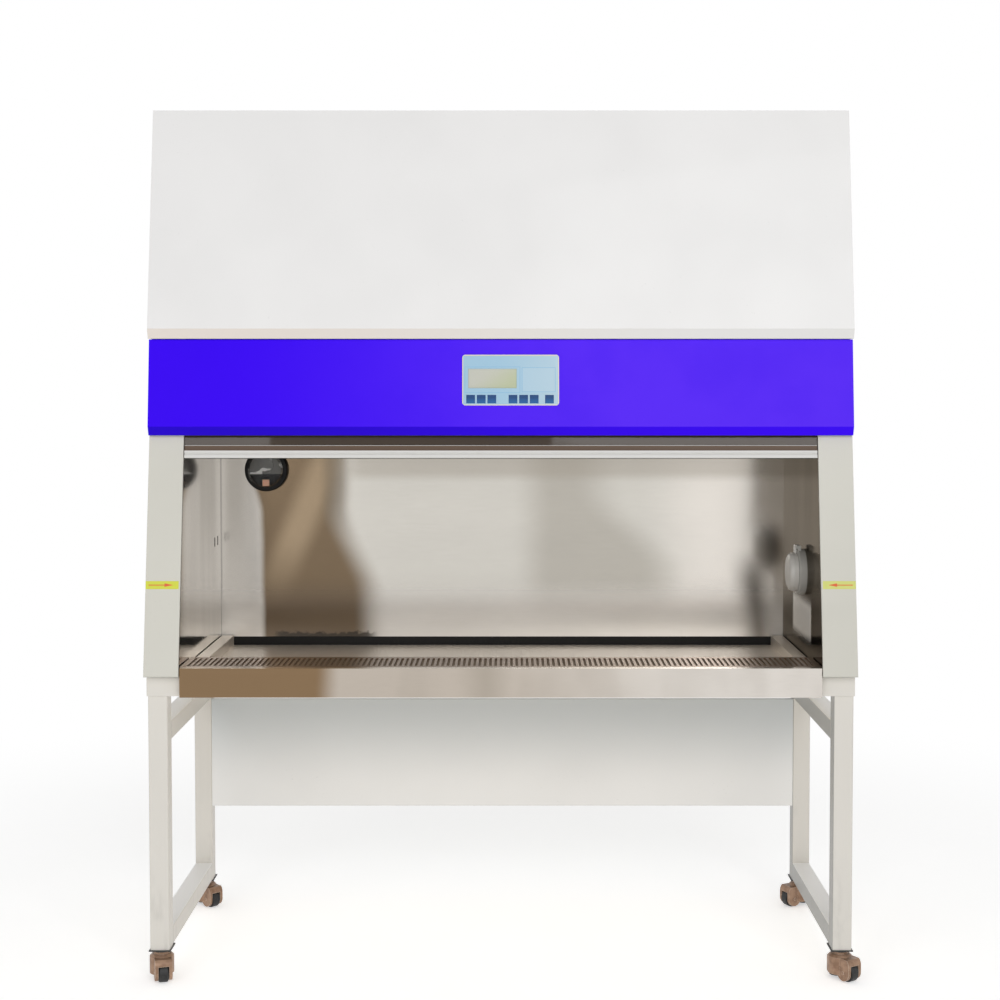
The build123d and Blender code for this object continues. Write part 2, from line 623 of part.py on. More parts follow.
def socket_base(place):
    """Splash-proof socket body: rimmed round box, outlet, rocker switch and hinge ears."""
    inner = SOCKET_RADIUS - SOCKET_RING
    body = Pos(0, 0, SOCKET_BASE / 2) * Cylinder(SOCKET_RADIUS, SOCKET_BASE)
    body = chamfer(body.edges().group_by(Axis.Z)[-1], 3)
    body -= Pos(0, 0, SOCKET_BASE) * Cylinder(inner, 12)
    outlet = Pos(0, OUTLET_UP, SOCKET_BASE - 4) * Cylinder(21, 6)
    outlet -= Pos(0, OUTLET_UP, SOCKET_BASE) * Cylinder(18, 6)
    rocker = Pos(0, -ROCKER_DOWN, SOCKET_BASE - 3) * Box(20, 19, 8)
    ears = []
    for x in (-EAR_X, EAR_X):
        ears.append(Pos(x, SOCKET_PIN_UP - 7, SOCKET_BASE - 5) * Box(EAR_WIDTH, 22, 9))
        ears.append(Pos(x, SOCKET_PIN_UP, SOCKET_BASE - 3) * Box(EAR_WIDTH, 8, 8))
        ears.append(Pos(x, 0, 0) * hinge_rod(KNUCKLE_RADIUS, EAR_WIDTH))
    return place * (body + outlet + rocker + ears + hinge_rod(PIN_RADIUS, 36))


def socket_lid(place):
    """Domed clear lid, its hinge knuckle on an arm over the body's rim."""
    def dome(radius, crown):
        outline = [(0, 0), (radius, 0), (radius, crown - LID_SHOULDER),
                   (radius - LID_SHOULDER / 3, crown - LID_SHOULDER / 3),
                   (radius - LID_SHOULDER, crown), (0, crown)]
        section = Plane.XZ * Polygon(*outline, align=None)
        return Pos(0, 0, SOCKET_BASE + LID_GAP) * revolve(section, axis=Axis.Z)

    shell = dome(LID_RADIUS, SOCKET_LID) - dome(LID_RADIUS - LID_WALL, SOCKET_LID - LID_WALL)
    arm_start, arm_end = LID_RADIUS - LID_WALL / 2, SOCKET_PIN_UP
    arm = Pos(0, (arm_start + arm_end) / 2, SOCKET_BASE + 4) * Box(KNUCKLE_WIDTH, arm_end - arm_start, 4)
    lid = shell + arm + hinge_rod(KNUCKLE_RADIUS, KNUCKLE_WIDTH)
    return place * (lid - hinge_rod(PIN_RADIUS + RUNNING_FIT, 40))


BACK_SOCKET_PLANE = Plane(origin=(BACK_SOCKET[0], BACK_WALL, BACK_SOCKET[1]), x_dir=(1, 0, 0),
                          z_dir=(0, -1, 0))
SIDE_SOCKET_PLANE = Plane(origin=(CHAMBER_HALF, *SIDE_SOCKET), x_dir=(0, -1, 0), z_dir=(-1, 0, 0))


def power_inlet():
    """Appliance inlet let into the rear sheet, its flange behind the sheet."""
    shroud = inlet_block(INLET_HOLE, -INLET_DEPTH, 0)
    shroud += inlet_block(INLET_FLANGE, -SHEET - 3, -SHEET)
    shroud -= inlet_block(INLET_MOUTH, -INLET_DEPTH + 8, 1)
    pins = [Pos(x, 0, 0) * inlet_block((2, 8), -INLET_DEPTH + 7, -6) for x in (-10, 0, 10)]
    return shroud + pins


# ---- base and stand --------------------------------------------------------------------------------
def base_frame():
    """White channel round three sides, with a raised step that leaves a shadow gap."""
    ring = block(-BASE_HALF, BASE_HALF, BASE_FRONT, BASE_REAR, BASE_BOTTOM, BASE_TOP)
    inside = BASE_WALL
    ring -= block(-BASE_HALF + inside, BASE_HALF - inside, BASE_FRONT + inside, BASE_REAR - inside,
                  BASE_BOTTOM + inside, BASE_TOP - inside)
    step = block(-BASE_HALF + 8, BASE_HALF - 8, BASE_FRONT + 8, BASE_REAR - 4, BASE_TOP, SHELL_BOTTOM)
    opening_half = COLUMN_INNER - 1
    opening = block(-opening_half, opening_half, BASE_FRONT - 1, BACK_WALL - 3,
                    BASE_BOTTOM - 1, SHELL_BOTTOM + 1)
    duct = block(-opening_half, opening_half, BACK_WALL - 4, BASE_REAR - 20,
                 BASE_TOP - inside - 1, SHELL_BOTTOM + 1)
    return ring + step - opening - duct


def tube(length):
    """Square tube standing on the origin."""
    profile = RectangleRounded(TUBE, TUBE, 4) - Rectangle(TUBE - 2 * TUBE_WALL, TUBE - 2 * TUBE_WALL)
    return extrude(profile, amount=length)


def stand_frame():
    """Two side frames, each of two legs and two rails."""
    pieces = []
    rail = REAR_LEG_FACE - (FRONT_LEG_FACE + TUBE)
    for x in (-LEG_X, LEG_X):
        for y in (FRONT_LEG_Y, REAR_LEG_Y):
            pieces.append(Pos(x, y, LEG_BOTTOM) * tube(BASE_BOTTOM - LEG_BOTTOM))
        for top in (UPPER_RAIL_TOP, LOWER_RAIL_TOP):
            pieces.append(Pos(x, FRONT_LEG_FACE + TUBE, top - TUBE / 2) * Rot(-90, 0, 0) * tube(rail))
    return pieces


def stand_rear_panel():
    """Skirt between the rear legs, with its top and bottom edges folded back."""
    half = LEG_X - TUBE / 2
    low, high = SKIRT_Z
    front = REAR_LEG_FACE + 2
    skin = block(-half, half, front, front + SHEET, low, high)
    for z in (low, high - SHEET):
        skin += block(-half, half, front, front + SKIRT_FOLD, z, z + SHEET)
    return skin


# ---- casters ----------------------------------------------------------------------------------------
def caster_mount(x, y):
    """Black plate under a leg, with the kingpin that the housing turns on."""
    plate = block(x - 28, x + 28, y - 28, y + 36, LEG_BOTTOM - 3, LEG_BOTTOM)
    boss = Pos(x, y, LEG_BOTTOM - 3) * Rot(180, 0, 0) * Pos(0, 0, 2) * Cone(24, 20, 4)
    pin = Pos(x, y, 62) * Cylinder(6, 30)
    return plate + boss + pin


def caster_housing(x, y, angle):
    """Moulded levelling-caster body: fork and wheel axle on one side, foot thread on the other."""
    low, high = HOUSING_Z
    axle_y, axle_z = -WHEEL_TRAIL, WHEEL_RADIUS
    body = Pos(0, 0, (low + high) / 2) * Cylinder(HOUSING_RADIUS, high - low)
    body += Pos(0, FOOT_TRAIL, (low + 54) / 2) * Cylinder(24, 54 - low)
    body = chamfer(body.edges().group_by(Axis.Z)[-1], 7)
    fork = along_x(21, -FORK_HALF, FORK_HALF, axle_y, axle_z)
    fork += block(-FORK_HALF, FORK_HALF, axle_y - 21, 0, axle_z, 44)
    fork += along_x(21, -FORK_HALF, FORK_HALF, axle_y, 44) & block(-30, 30, -60, 0, 30, 60)
    body += fork
    body += Pos(0, 0, (high + SWIVEL_TOP) / 2) * Cylinder(21, SWIVEL_TOP - high)
    well_half = WHEEL_WIDTH / 2 + 1.5
    well = along_x(WHEEL_RADIUS + 3, -well_half, well_half, axle_y, axle_z)
    well += block(-well_half, well_half, -70, axle_y, -1, 44)
    well += block(-well_half, well_half, axle_y, axle_y + WHEEL_RADIUS + 3, -1, axle_z)
    body -= well
    body += along_x(4, -FORK_HALF - 1.5, FORK_HALF + 1.5, axle_y, axle_z)
    body -= Pos(0, 0, 62) * Cylinder(6 + RUNNING_FIT, 31)
    body -= Pos(0, FOOT_TRAIL, 30) * Cylinder(5 + RUNNING_FIT, 36)
    return Pos(x, y, 0) * Rot(0, 0, angle) * body


def caster_wheel(x, y, angle):
    tread = along_x(WHEEL_RADIUS, -WHEEL_WIDTH / 2, WHEEL_WIDTH / 2, -WHEEL_TRAIL, WHEEL_RADIUS)
    tread = chamfer(tread.edges().filter_by(GeomType.CIRCLE), 2.5)
    tread -= along_x(4 + RUNNING_FIT, -20, 20, -WHEEL_TRAIL, WHEEL_RADIUS)
    return Pos(x, y, 0) * Rot(0, 0, angle) * tread


def caster_foot(x, y, angle):
    """Rubber levelling pad on its screw, raised off the floor."""
    pad = Pos(0, FOOT_TRAIL, 9) * Cylinder(FOOT_RADIUS, 4) + Pos(0, FOOT_TRAIL, 12.5) * Cone(16, 10, 3)
    screw = Pos(0, FOOT_TRAIL, 25) * Cylinder(5, 30)
    return Pos(x, y, 0) * Rot(0, 0, angle) * (pad + screw)


# ---- write the sub-parts ------------------------------------------------------------------------------
os.makedirs("parts", exist_ok=True)

side_right, side_left = both(side_panel())
save("side_panel_right", side_right)
save("side_panel_left", side_left)
save("roof_panel", roof_panel())
save("rear_panel", rear_panel())
save("hood_front_panel", hood_front_panel())
save("control_fascia", control_fascia())
save("control_overlay", control_overlay())
save("display_board", display_board())
for number, column in enumerate(KEY_COLUMNS, 1):
    save(f"membrane_key_{number}", membrane_key(column))

save("chamber_back_wall", chamber_back_wall())
save("chamber_side_walls", *chamber_side_walls())
save("drain_pan", drain_pan())
save("front_air_grille", front_air_grille())
save("work_tray", work_tray())
save("supply_diffuser", supply_diffuser())
save("supply_filter", filter_unit(CHAMBER_HALF, SUPPLY_FRONT, BACK_WALL, SUPPLY_BOTTOM, FILTER_TOP))
save("exhaust_filter", filter_unit(EXHAUST_HALF, *EXHAUST_Y, PLENUM_TOP, EXHAUST_FILTER_TOP))
save("fan_plenum", fan_plenum())
save("exhaust_guard", exhaust_guard())
save("blower_housing", blower_housing(), blower_motor())
save("blower_impeller", blower_impeller())
save("fluorescent_lamp", lamp_tube(LAMP))
save("uv_lamp", lamp_tube(UV_LAMP))
save("lamp_holders", *lamp_holders())

save("sash_glass", sash_glass())
save("sash_rail_and_hangers", sash_rail(), *both(sash_hanger()))
save("sash_tracks", *both(sash_track()))
save("pulley_brackets", *both(pulley_bracket()))
save("sash_cables", *both(sash_cable()))
pulley_right, pulley_left = both(sash_pulley())
save("sash_pulley_right", pulley_right)
save("sash_pulley_left", pulley_left)
weight_right, weight_left = both(counterweight())
save("counterweight_right", weight_right)
save("counterweight_left", weight_left)

for place, plane in (("back", BACK_SOCKET_PLANE), ("side", SIDE_SOCKET_PLANE)):
    save(f"socket_base_{place}", socket_base(plane))
    save(f"socket_lid_{place}", socket_lid(plane))
save("power_inlet", power_inlet())

save("base_frame", base_frame())
save("stand_frame", *stand_frame())
save("stand_rear_panel", stand_rear_panel())
save("caster_mounts", *[caster_mount(x, y) for x, y, angle in CASTERS.values()])
for corner, (x, y, angle) in CASTERS.items():
    save(f"caster_housing_{corner}", caster_housing(x, y, angle))
    save(f"caster_wheel_{corner}", caster_wheel(x, y, angle))
    save(f"caster_foot_{corner}", caster_foot(x, y, angle))
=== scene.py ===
from math import atan, cos, pi, radians, sin

import bmesh
import bpy
from mathutils import Matrix, Vector


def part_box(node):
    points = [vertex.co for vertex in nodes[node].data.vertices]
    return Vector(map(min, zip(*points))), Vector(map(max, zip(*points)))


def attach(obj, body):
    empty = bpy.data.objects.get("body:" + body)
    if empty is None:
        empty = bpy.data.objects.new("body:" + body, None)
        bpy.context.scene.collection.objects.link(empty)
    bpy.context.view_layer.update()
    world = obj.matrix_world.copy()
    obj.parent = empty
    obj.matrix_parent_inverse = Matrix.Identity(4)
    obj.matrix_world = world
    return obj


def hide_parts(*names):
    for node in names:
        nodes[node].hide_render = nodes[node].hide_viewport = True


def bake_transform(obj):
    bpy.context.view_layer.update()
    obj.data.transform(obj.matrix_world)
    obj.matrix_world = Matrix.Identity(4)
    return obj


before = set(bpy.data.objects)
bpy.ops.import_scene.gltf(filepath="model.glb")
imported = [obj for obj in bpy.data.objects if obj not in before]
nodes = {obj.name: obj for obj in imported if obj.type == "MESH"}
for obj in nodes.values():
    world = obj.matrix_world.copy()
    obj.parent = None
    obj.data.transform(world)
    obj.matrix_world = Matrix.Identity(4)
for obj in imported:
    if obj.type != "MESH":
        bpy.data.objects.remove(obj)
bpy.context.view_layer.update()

# ---- studio -------------------------------------------------------------------------------
# A camera at standing eye height squarely in front of the cabinet, two soft lamps and a pale
# surround. The surround reads as white wherever it is seen or mirrored, and lights less.

EYE = (0.031, -4.6315, 1.512)
DOWNWARD_TILT = radians(2.4)
LENS = 61.2                        # millimetres
LENS_SHIFT = (-0.013, -0.04)
SURROUND_LIGHT = 0.42
FLOOR_HALF = 14.0
FLOOR_FADE = (1.2, 3.4)            # from the middle, where the floor turns into plain surround
FLOOR_GLOW = 0.48
LAMP_AIM = (0, 0, 1.25)
WHITE = (1, 1, 1, 1)

eye = bpy.data.objects.new("eye", bpy.data.cameras.new("eye"))
eye.location = EYE
eye.rotation_euler = (pi / 2 - DOWNWARD_TILT, 0, 0)
eye.data.lens = LENS
eye.data.shift_x, eye.data.shift_y = LENS_SHIFT
bpy.context.scene.collection.objects.link(eye)
bpy.context.scene.camera = eye
bpy.context.scene.view_settings.view_transform = "Standard"


class Wire:
    """A value inside a finish. Sums, differences and products of wires add their own nodes."""

    def __init__(self, finish, socket):
        self.finish = finish
        self.socket = socket

    def maths(self, operation, *others):
        values = dict(enumerate((self, *others)))
        return self.finish.node("Math", {"operation": operation}, values)

    def __add__(self, other):
        return self.maths("ADD", other)

    def __sub__(self, other):
        return self.maths("SUBTRACT", other)

    def __rsub__(self, other):
        return self.finish.node("Math", {"operation": "SUBTRACT"}, {0: other, 1: self})

    def __mul__(self, other):
        return self.maths("MULTIPLY", other)

    def __truediv__(self, other):
        return self.maths("DIVIDE", other)

    def __abs__(self):
        return self.maths("ABSOLUTE")

    __radd__ = __add__
    __rmul__ = __mul__

    def ease(self, start, end):
        """0 before start, 1 after end, and smooth between."""
        if start > end:
            return 1 - self.ease(end, start)
        return self.finish.node("MapRange", {"interpolation_type": "SMOOTHSTEP"},
                                {"Value": self, "From Min": start, "From Max": end})


class Finish:
    """One material. Its nodes are added by expressions on wires."""

    def __init__(self, name, tree=None):
        if tree is None:
            self.material = bpy.data.materials.new(name)
            self.material.use_nodes = True
            tree = self.material.node_tree
        self.tree = tree
        self.tree.nodes.clear()

    def node(self, kind, settings=(), sockets=(), out=0):
        made = self.tree.nodes.new("ShaderNode" + kind)
        for name, value in dict(settings).items():
            setattr(made, name, value)
        for name, value in dict(sockets).items():
            if isinstance(value, Wire):
                self.tree.links.new(value.socket, made.inputs[name])
            else:
                made.inputs[name].default_value = value
        return None if out is None else Wire(self, made.outputs[out])

    def place(self):
        """Where the surface is on the object, in metres, as a vector."""
        return self.node("TexCoord", out="Object")

    def axes(self):
        """The same place as three wires."""
        split = self.node("SeparateXYZ", (), {0: self.place()})
        return [Wire(self, output) for output in split.socket.node.outputs]

    def noise(self, grain, detail=3.0, stretch=(1, 1, 1)):
        """Soft random value near a half, its grains so many metres across."""
        at = self.node("VectorMath", {"operation": "MULTIPLY"}, {0: self.place(), 1: stretch})
        return self.node("TexNoise", (), {"Vector": at, "Scale": 1 / grain, "Detail": detail,
                                          "Roughness": 0.5})

    def mix(self, mask, under, over):
        """The colour under, turning to over as the mask rises."""
        return self.node("Mix", {"data_type": "RGBA"}, {0: mask, 6: under, 7: over}, 2)

    def shade(self, colour, level):
        """The colour, brighter or darker by a level near one."""
        return self.node("Mix", {"data_type": "RGBA", "blend_type": "MULTIPLY"},
                         {0: 1.0, 6: colour, 7: level}, 2)

    def coat(self, colour, roughness, relief=None, depth=0.0002, rounding=0.0, **constants):
        """One coat: depth is the height of the relief, rounding softens cut edges."""
        sockets = {name.replace("_", " "): value for name, value in constants.items()}
        normal = None
        if rounding:
            normal = self.node("Bevel", {"samples": 4}, {"Radius": rounding})
            sockets["Normal"] = normal
        if relief is not None:
            bump = {"Height": relief, "Distance": depth, "Strength": 1.0}
            if normal is not None:
                bump["Normal"] = normal
            sockets["Normal"] = self.node("Bump", (), bump)
        return self.node("BsdfPrincipled", (),
                         {"Base Color": colour, "Roughness": roughness, **sockets})

    def finished(self, coat):
        self.node("OutputMaterial", (), {"Surface": coat}, None)
        return self.material

    def surface(self, *values, **constants):
        """The whole surface in one coat."""
        return self.finished(self.coat(*values, **constants))


def tone(red, green, blue):
    """A colour given in the 0 to 255 numbers of a screen, as the linear light that shaders use."""
    def linear(level):
        share = level / 255
        return share / 12.92 if share <= 0.04045 else ((share + 0.055) / 1.055) ** 2.4
    return (linear(red), linear(green), linear(blue), 1.0)


def soft_window(value, low, high, soft):
    """1 between low and high, fading out over soft each side."""
    return value.ease(low - soft, low + soft) * (1 - value.ease(high - soft, high + soft))


def soft_rectangle(x, z, left, right, low, high, soft):
    """1 inside a rectangle seen from the front, fading out over soft on every side."""
    return soft_window(x, left, right, soft) * soft_window(z, low, high, soft)


def seen_directly(finish):
    """1 where the surround is looked at, straight, in a mirror or through glass."""
    rays = finish.node("LightPath").socket.node.outputs
    camera, glossy, through = [Wire(finish, rays[name]) for name in
                               ("Is Camera Ray", "Is Glossy Ray", "Is Transmission Ray")]
    return camera.maths("MAXIMUM", glossy).maths("MAXIMUM", through)


surround = bpy.data.worlds.new("surround")
surround.use_nodes = True
bpy.context.scene.world = surround
air = Finish("surround", surround.node_tree)
lit = air.node("Background", (), {"Color": WHITE, "Strength": SURROUND_LIGHT})
white = air.node("Background", (), {"Color": WHITE, "Strength": 1.0})
both_ways = air.node("MixShader", (), {0: seen_directly(air), 1: lit, 2: white})
air.node("OutputWorld", (), {"Surface": both_ways}, None)

floor_finish = Finish("studio_floor")
reach = floor_finish.node("VectorMath", {"operation": "LENGTH"}, {0: floor_finish.place()},
                          "Value")
pale = floor_finish.mix(floor_finish.noise(0.4), tone(238, 238, 237), tone(243, 243, 243))
matt = floor_finish.node("BsdfPrincipled", (), {
    "Base Color": pale, "Roughness": 0.9, "Emission Color": WHITE,
    "Emission Strength": FLOOR_GLOW})
glow = floor_finish.node("Emission", (), {"Color": WHITE, "Strength": 1.0})
fade = reach.ease(*FLOOR_FADE) * seen_directly(floor_finish)
floor_finish.node("OutputMaterial", (), {
    "Surface": floor_finish.node("MixShader", (), {0: fade, 1: matt, 2: glow})}, None)

ground = bmesh.new()
bmesh.ops.create_grid(ground, x_segments=1, y_segments=1, size=FLOOR_HALF)
floor_mesh = bpy.data.meshes.new("floor")
ground.to_mesh(floor_mesh)
ground.free()
floor_mesh.materials.append(floor_finish.material)
floor = bpy.data.objects.new("floor", floor_mesh)
bpy.context.scene.collection.objects.link(floor)

for name, place, size, power in (("window_lamp", (1.5, -5.4, 3.3), 2.6, 82.0),
                                 ("fill_lamp", (-2.4, -5.0, 2.2), 2.2, 47.0)):
    lamp = bpy.data.objects.new(name, bpy.data.lights.new(name, "AREA"))
    lamp.data.size = size
    lamp.data.energy = power
    lamp.location = place
    aim = Vector(LAMP_AIM) - lamp.location
    lamp.rotation_euler = aim.to_track_quat("-Z", "Y").to_euler()
    bpy.context.scene.collection.objects.link(lamp)


# ---- outer shell --------------------------------------------------------------------------
# Folded steel sheets in white powder coat: two sides with their front columns, the roof, the
# rear sheet and the hood's front cover. The coat has a fine orange peel and soft folded edges.

HOOD_BEND_Z = 1.665                # where the hood's front turns in to its lower lip


def darker(colour, share):
    return tuple(channel * share for channel in colour[:3]) + (1.0,)


def right_half(x):
    """0 on the left half of the cabinet and 1 on the right."""
    return x.ease(-0.1, 0.1)


def powder_coat(name, colour, roughness=0.42, soiled_to=None, lip=None, shaded=None):
    """Baked powder coat. A frame's is marked by mops up to soiled_to, and has painted shade on the
    inward faces of its right half and painted light on faces that look up. Below lip it has
    painted shade, and shaded is the span over which painted shade greys it upwards."""
    finish = Finish(name)
    x, y, z = finish.axes()
    cloud = finish.noise(0.28, 2)
    coat = finish.mix(cloud.ease(0.3, 0.75) * 0.6, colour, darker(colour, 0.94))
    speck = finish.noise(0.006, 4).ease(0.66, 0.74) * finish.noise(0.11, 2).ease(0.5, 0.7)
    coat = finish.mix(speck * 0.25, coat, darker(colour, 0.6))
    if soiled_to:
        scuff = finish.noise(0.03, 5, (1, 1, 0.3)).ease(0.5, 0.8) * (1 - z.ease(0.1, soiled_to))
        coat = finish.mix(scuff * 0.5, coat, darker(colour, 0.62))
        # painted shade: the inward faces of the right frame are darker
        facing = finish.node("NewGeometry", out="Normal")
        inward = finish.node("SeparateXYZ", (), {0: facing}, "X").ease(-0.4, -0.9)
        coat = finish.mix(inward * right_half(x) * 0.8, coat, tone(140, 141, 139))
        # painted light: faces that look up are paler
        upward = finish.node("SeparateXYZ", (), {0: facing}, "Z").ease(0.4, 0.9)
        coat = finish.mix(upward, coat, tone(250, 250, 249))
    if lip:
        # painted shade: below lip the front turns back from the light and is greyer
        lip_shade = finish.mix(x.ease(-0.6, 0.6), tone(216, 208, 198), tone(217, 216, 212))
        coat = finish.mix(1 - z.ease(lip - 0.001, lip + 0.001), coat, lip_shade)
    if shaded:
        # painted shade: greyer towards the top, under the pan
        coat = finish.mix(z.ease(*shaded), coat, tone(197, 201, 201))
    rough = roughness + (cloud - 0.5) * 0.12
    return finish.surface(coat, rough, finish.noise(0.0018, 2), 0.00012, 0.0012,
                          Coat_Weight=0.08)


# the white coat has painted shade below the hood's bend
white_coat = powder_coat("white_powder_coat", tone(229, 228, 227), lip=HOOD_BEND_Z)
# painted shade: the sides with their columns, and the rear sheet, get a darker, warmer copy of the
# white coat
shaded_side_coat = powder_coat("shaded_side_powder_coat", tone(199, 197, 187))


def dress(material, *names):
    """Gives CAD nodes their finish."""
    for name in names:
        slots = nodes[name].data.materials
        slots.clear()
        slots.append(material)


dress(white_coat, "hood_front_panel", "roof_panel")
dress(shaded_side_coat, "side_panel_right", "side_panel_left", "rear_panel")


# ---- sash-height tapes --------------------------------------------------------------------
# A strip of yellow vinyl tape across each column marks the sash's working height. A printed
# red arrow on it points to the opening.

TAPE_LOW, TAPE_HIGH = 1.005, 1.025
TAPE_THICK = 0.0003
TAPE_INNER_GAP, TAPE_OUTER_GAP = 0.004, 0.0005     # from the column's two edges
ARROW_SHAFT = 0.0022
ARROW_HEAD = 0.009
ARROW_PLACES = (0.018, 0.040, 0.080)        # its tip, neck and tail, out from the opening
INK_THICK = 0.0001

shell_low, shell_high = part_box("side_panel_right")
LEAN = atan(99 / 596)              # the front leans back 99 mm in 596 mm
FRONT = shell_low.y
SHELL_BOTTOM = shell_low.z
COLUMN_INNER = shell_low.x
HALF_WIDTH = shell_high.x
FRONT_LEAN = (Matrix.Translation((0, FRONT, SHELL_BOTTOM))
              @ Matrix.Rotation(pi / 2 - LEAN, 4, "X"))      # x, up the slope, out of it


def add_block(form, low, high):
    """A box between two corners, added to a bmesh."""
    low, high = Vector(low), Vector(high)
    place = Matrix.Translation((low + high) / 2) @ Matrix.Diagonal((*(high - low), 1))
    bmesh.ops.create_cube(form, size=1, matrix=place)


def add_piece(name, form, material, body, replaced=(), smooth=False):
    """Turns a bmesh into a piece of the cabinet, fixed to its body."""
    mesh = bpy.data.meshes.new(name)
    form.to_mesh(mesh)
    form.free()
    mesh.materials.append(material)
    for face in mesh.polygons:
        face.use_smooth = smooth
    piece = bpy.data.objects.new(name, mesh)
    bpy.context.scene.collection.objects.link(piece)
    if body:
        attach(piece, body)
    if replaced:
        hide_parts(*replaced)
    return piece


def round_edges(form, width):
    bmesh.ops.bevel(form, geom=form.edges[:], offset=width, segments=2, affect="EDGES",
                    profile=0.5, material=-1, clamp_overlap=True)


tape = Finish("yellow_tape")
x, y, z = tape.axes()
# the yellow is paler towards the right
paler_to_right = tape.mix(x.ease(-0.8, 0.8), tone(203, 207, 32), tone(203, 206, 112))
tape_vinyl = tape.surface(tape.mix(tape.noise(0.012, 3) * 0.3, paler_to_right, tone(176, 180, 60)), 0.38,
                          tape.noise(0.004, 2), 0.00005)
ink = Finish("red_ink")
tape_ink = ink.surface(ink.mix(ink.noise(0.004, 3).ease(0.4, 0.7) * 0.5, tone(214, 80, 28),
                               tone(196, 120, 50)), 0.45)
up_low = (TAPE_LOW - SHELL_BOTTOM) / cos(LEAN)
up_high = (TAPE_HIGH - SHELL_BOTTOM) / cos(LEAN)
up_middle = (up_low + up_high) / 2
for side, sign in (("right", 1), ("left", -1)):
    strip = bmesh.new()
    ends = sorted((sign * (COLUMN_INNER + TAPE_INNER_GAP), sign * (HALF_WIDTH - TAPE_OUTER_GAP)))
    add_block(strip, (ends[0], up_low, 0.0), (ends[1], up_high, TAPE_THICK))
    strip.transform(FRONT_LEAN)
    add_piece(f"height_tape_{side}", strip, tape_vinyl, "cabinet")

    arrow = bmesh.new()
    tip, neck, tail = [sign * (COLUMN_INNER + along) for along in ARROW_PLACES]
    outline = [(tip, 0), (neck, ARROW_HEAD / 2), (neck, ARROW_SHAFT / 2), (tail, ARROW_SHAFT / 2),
               (tail, -ARROW_SHAFT / 2), (neck, -ARROW_SHAFT / 2), (neck, -ARROW_HEAD / 2)]
    corners = [arrow.verts.new((across, up_middle + rise, TAPE_THICK))
               for across, rise in outline]
    face = arrow.faces.new(corners)
    grown = bmesh.ops.extrude_face_region(arrow, geom=[face])["geom"]
    bmesh.ops.translate(arrow, verts=[v for v in grown if isinstance(v, bmesh.types.BMVert)],
                        vec=(0, 0, INK_THICK))
    bmesh.ops.recalc_face_normals(arrow, faces=arrow.faces[:])
    arrow.transform(FRONT_LEAN)
    add_piece(f"height_arrow_{side}", arrow, tape_ink, "cabinet")


# ---- control fascia -----------------------------------------------------------------------
# The folded cover over the sash pocket, in a saturated blue gloss powder coat, lifted off for
# service. Painted sheen pales it to the right, and painted shade darkens its lower fold.

BEND_Z = 1.416
blue = Finish("blue_powder_coat")
x, y, z = blue.axes()
# painted sheen: the blue pales towards the right
blue_and_painted_light = blue.mix(x.ease(-0.75, 0.35), tone(57, 0, 240), tone(88, 42, 243))
blue_and_painted_light = blue.mix(blue.noise(0.2, 3).ease(0.4, 0.75) * 0.2, blue_and_painted_light, tone(50, 4, 230))
# painted shade on the lower fold, which faces down, with painted sheen to the right
fold_painted_shade = blue.mix(x.ease(-0.75, 0.75), tone(36, 0, 196), tone(54, 2, 234))
blue_and_painted_light = blue.mix(1 - z.ease(BEND_Z - 0.002, BEND_Z + 0.001), blue_and_painted_light, fold_painted_shade)
blue_coat = blue.surface(blue_and_painted_light, 0.5 + blue.noise(0.09, 3) * 0.08, blue.noise(0.0016, 2),
                         0.0001, 0.0012, Specular_IOR_Level=0.06)
dress(blue_coat, "control_fascia")


# ---- control panel ------------------------------------------------------------------------
# A printed polyester overlay with a clear window over the display and seven domed keys under
# it. The printing is on the back of the film; only its plain fields and frames are drawn.

DISPLAY_FRAME = (-0.0925, 0.0495, 1.5015, 1.5685)      # left, right, low and high
NOTE_FRAME = (0.0535, 0.1395, 1.5035, 1.5665)
NOTE_INSET = 0.002
EDGE_ACROSS, EDGE_UP = 0.0022, 0.0024                  # the width of the film's pale edge
DISPLAY_GLASS = (-0.09, 0.047, 1.50, 1.57)
LINE_BLUE = tone(118, 170, 205)
over_low, over_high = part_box("control_overlay")


def printed_frame(x, z, left, right, low, high, line):
    """A thin printed rectangle."""
    outer = soft_rectangle(x, z, left, right, low, high, 0.0004)
    inner = soft_rectangle(x, z, left + line, right - line, low + line, high - line, 0.0004)
    return outer - inner


film = Finish("overlay_print")
x, y, z = film.axes()
field = film.mix(x.ease(-0.02, 0.14), tone(150, 187, 209), tone(166, 193, 208))
field = film.mix(film.noise(0.03, 3) * 0.25, field, tone(142, 181, 206))
field = film.mix(printed_frame(x, z, *DISPLAY_FRAME, 0.0016) * 0.7, field, LINE_BLUE)
field = film.mix(printed_frame(x, z, *NOTE_FRAME, 0.0014) * 0.75, field, LINE_BLUE)
left, right, low, high = NOTE_FRAME
note_field = soft_rectangle(x, z, left + NOTE_INSET, right - NOTE_INSET, low + NOTE_INSET,
                            high - NOTE_INSET, 0.001)
field = film.mix(note_field * 0.4, field, tone(172, 197, 211))
edge = 1 - soft_rectangle(x, z, over_low.x + EDGE_ACROSS, over_high.x - EDGE_ACROSS,
                          over_low.z + EDGE_UP, over_high.z - EDGE_UP, 0.0003)
field = film.mix(edge * 0.8, field, tone(238, 214, 170))
overlay_film = film.surface(field, 0.3, film.noise(0.0012, 2), 0.00003, 0.0, Coat_Weight=0.1)
dress(overlay_film, "control_overlay")

key = Finish("key_print")
x, y, z = key.axes()
key_low, key_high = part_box("membrane_key_1")
rise = (z - key_low.z) / (key_high.z - key_low.z)
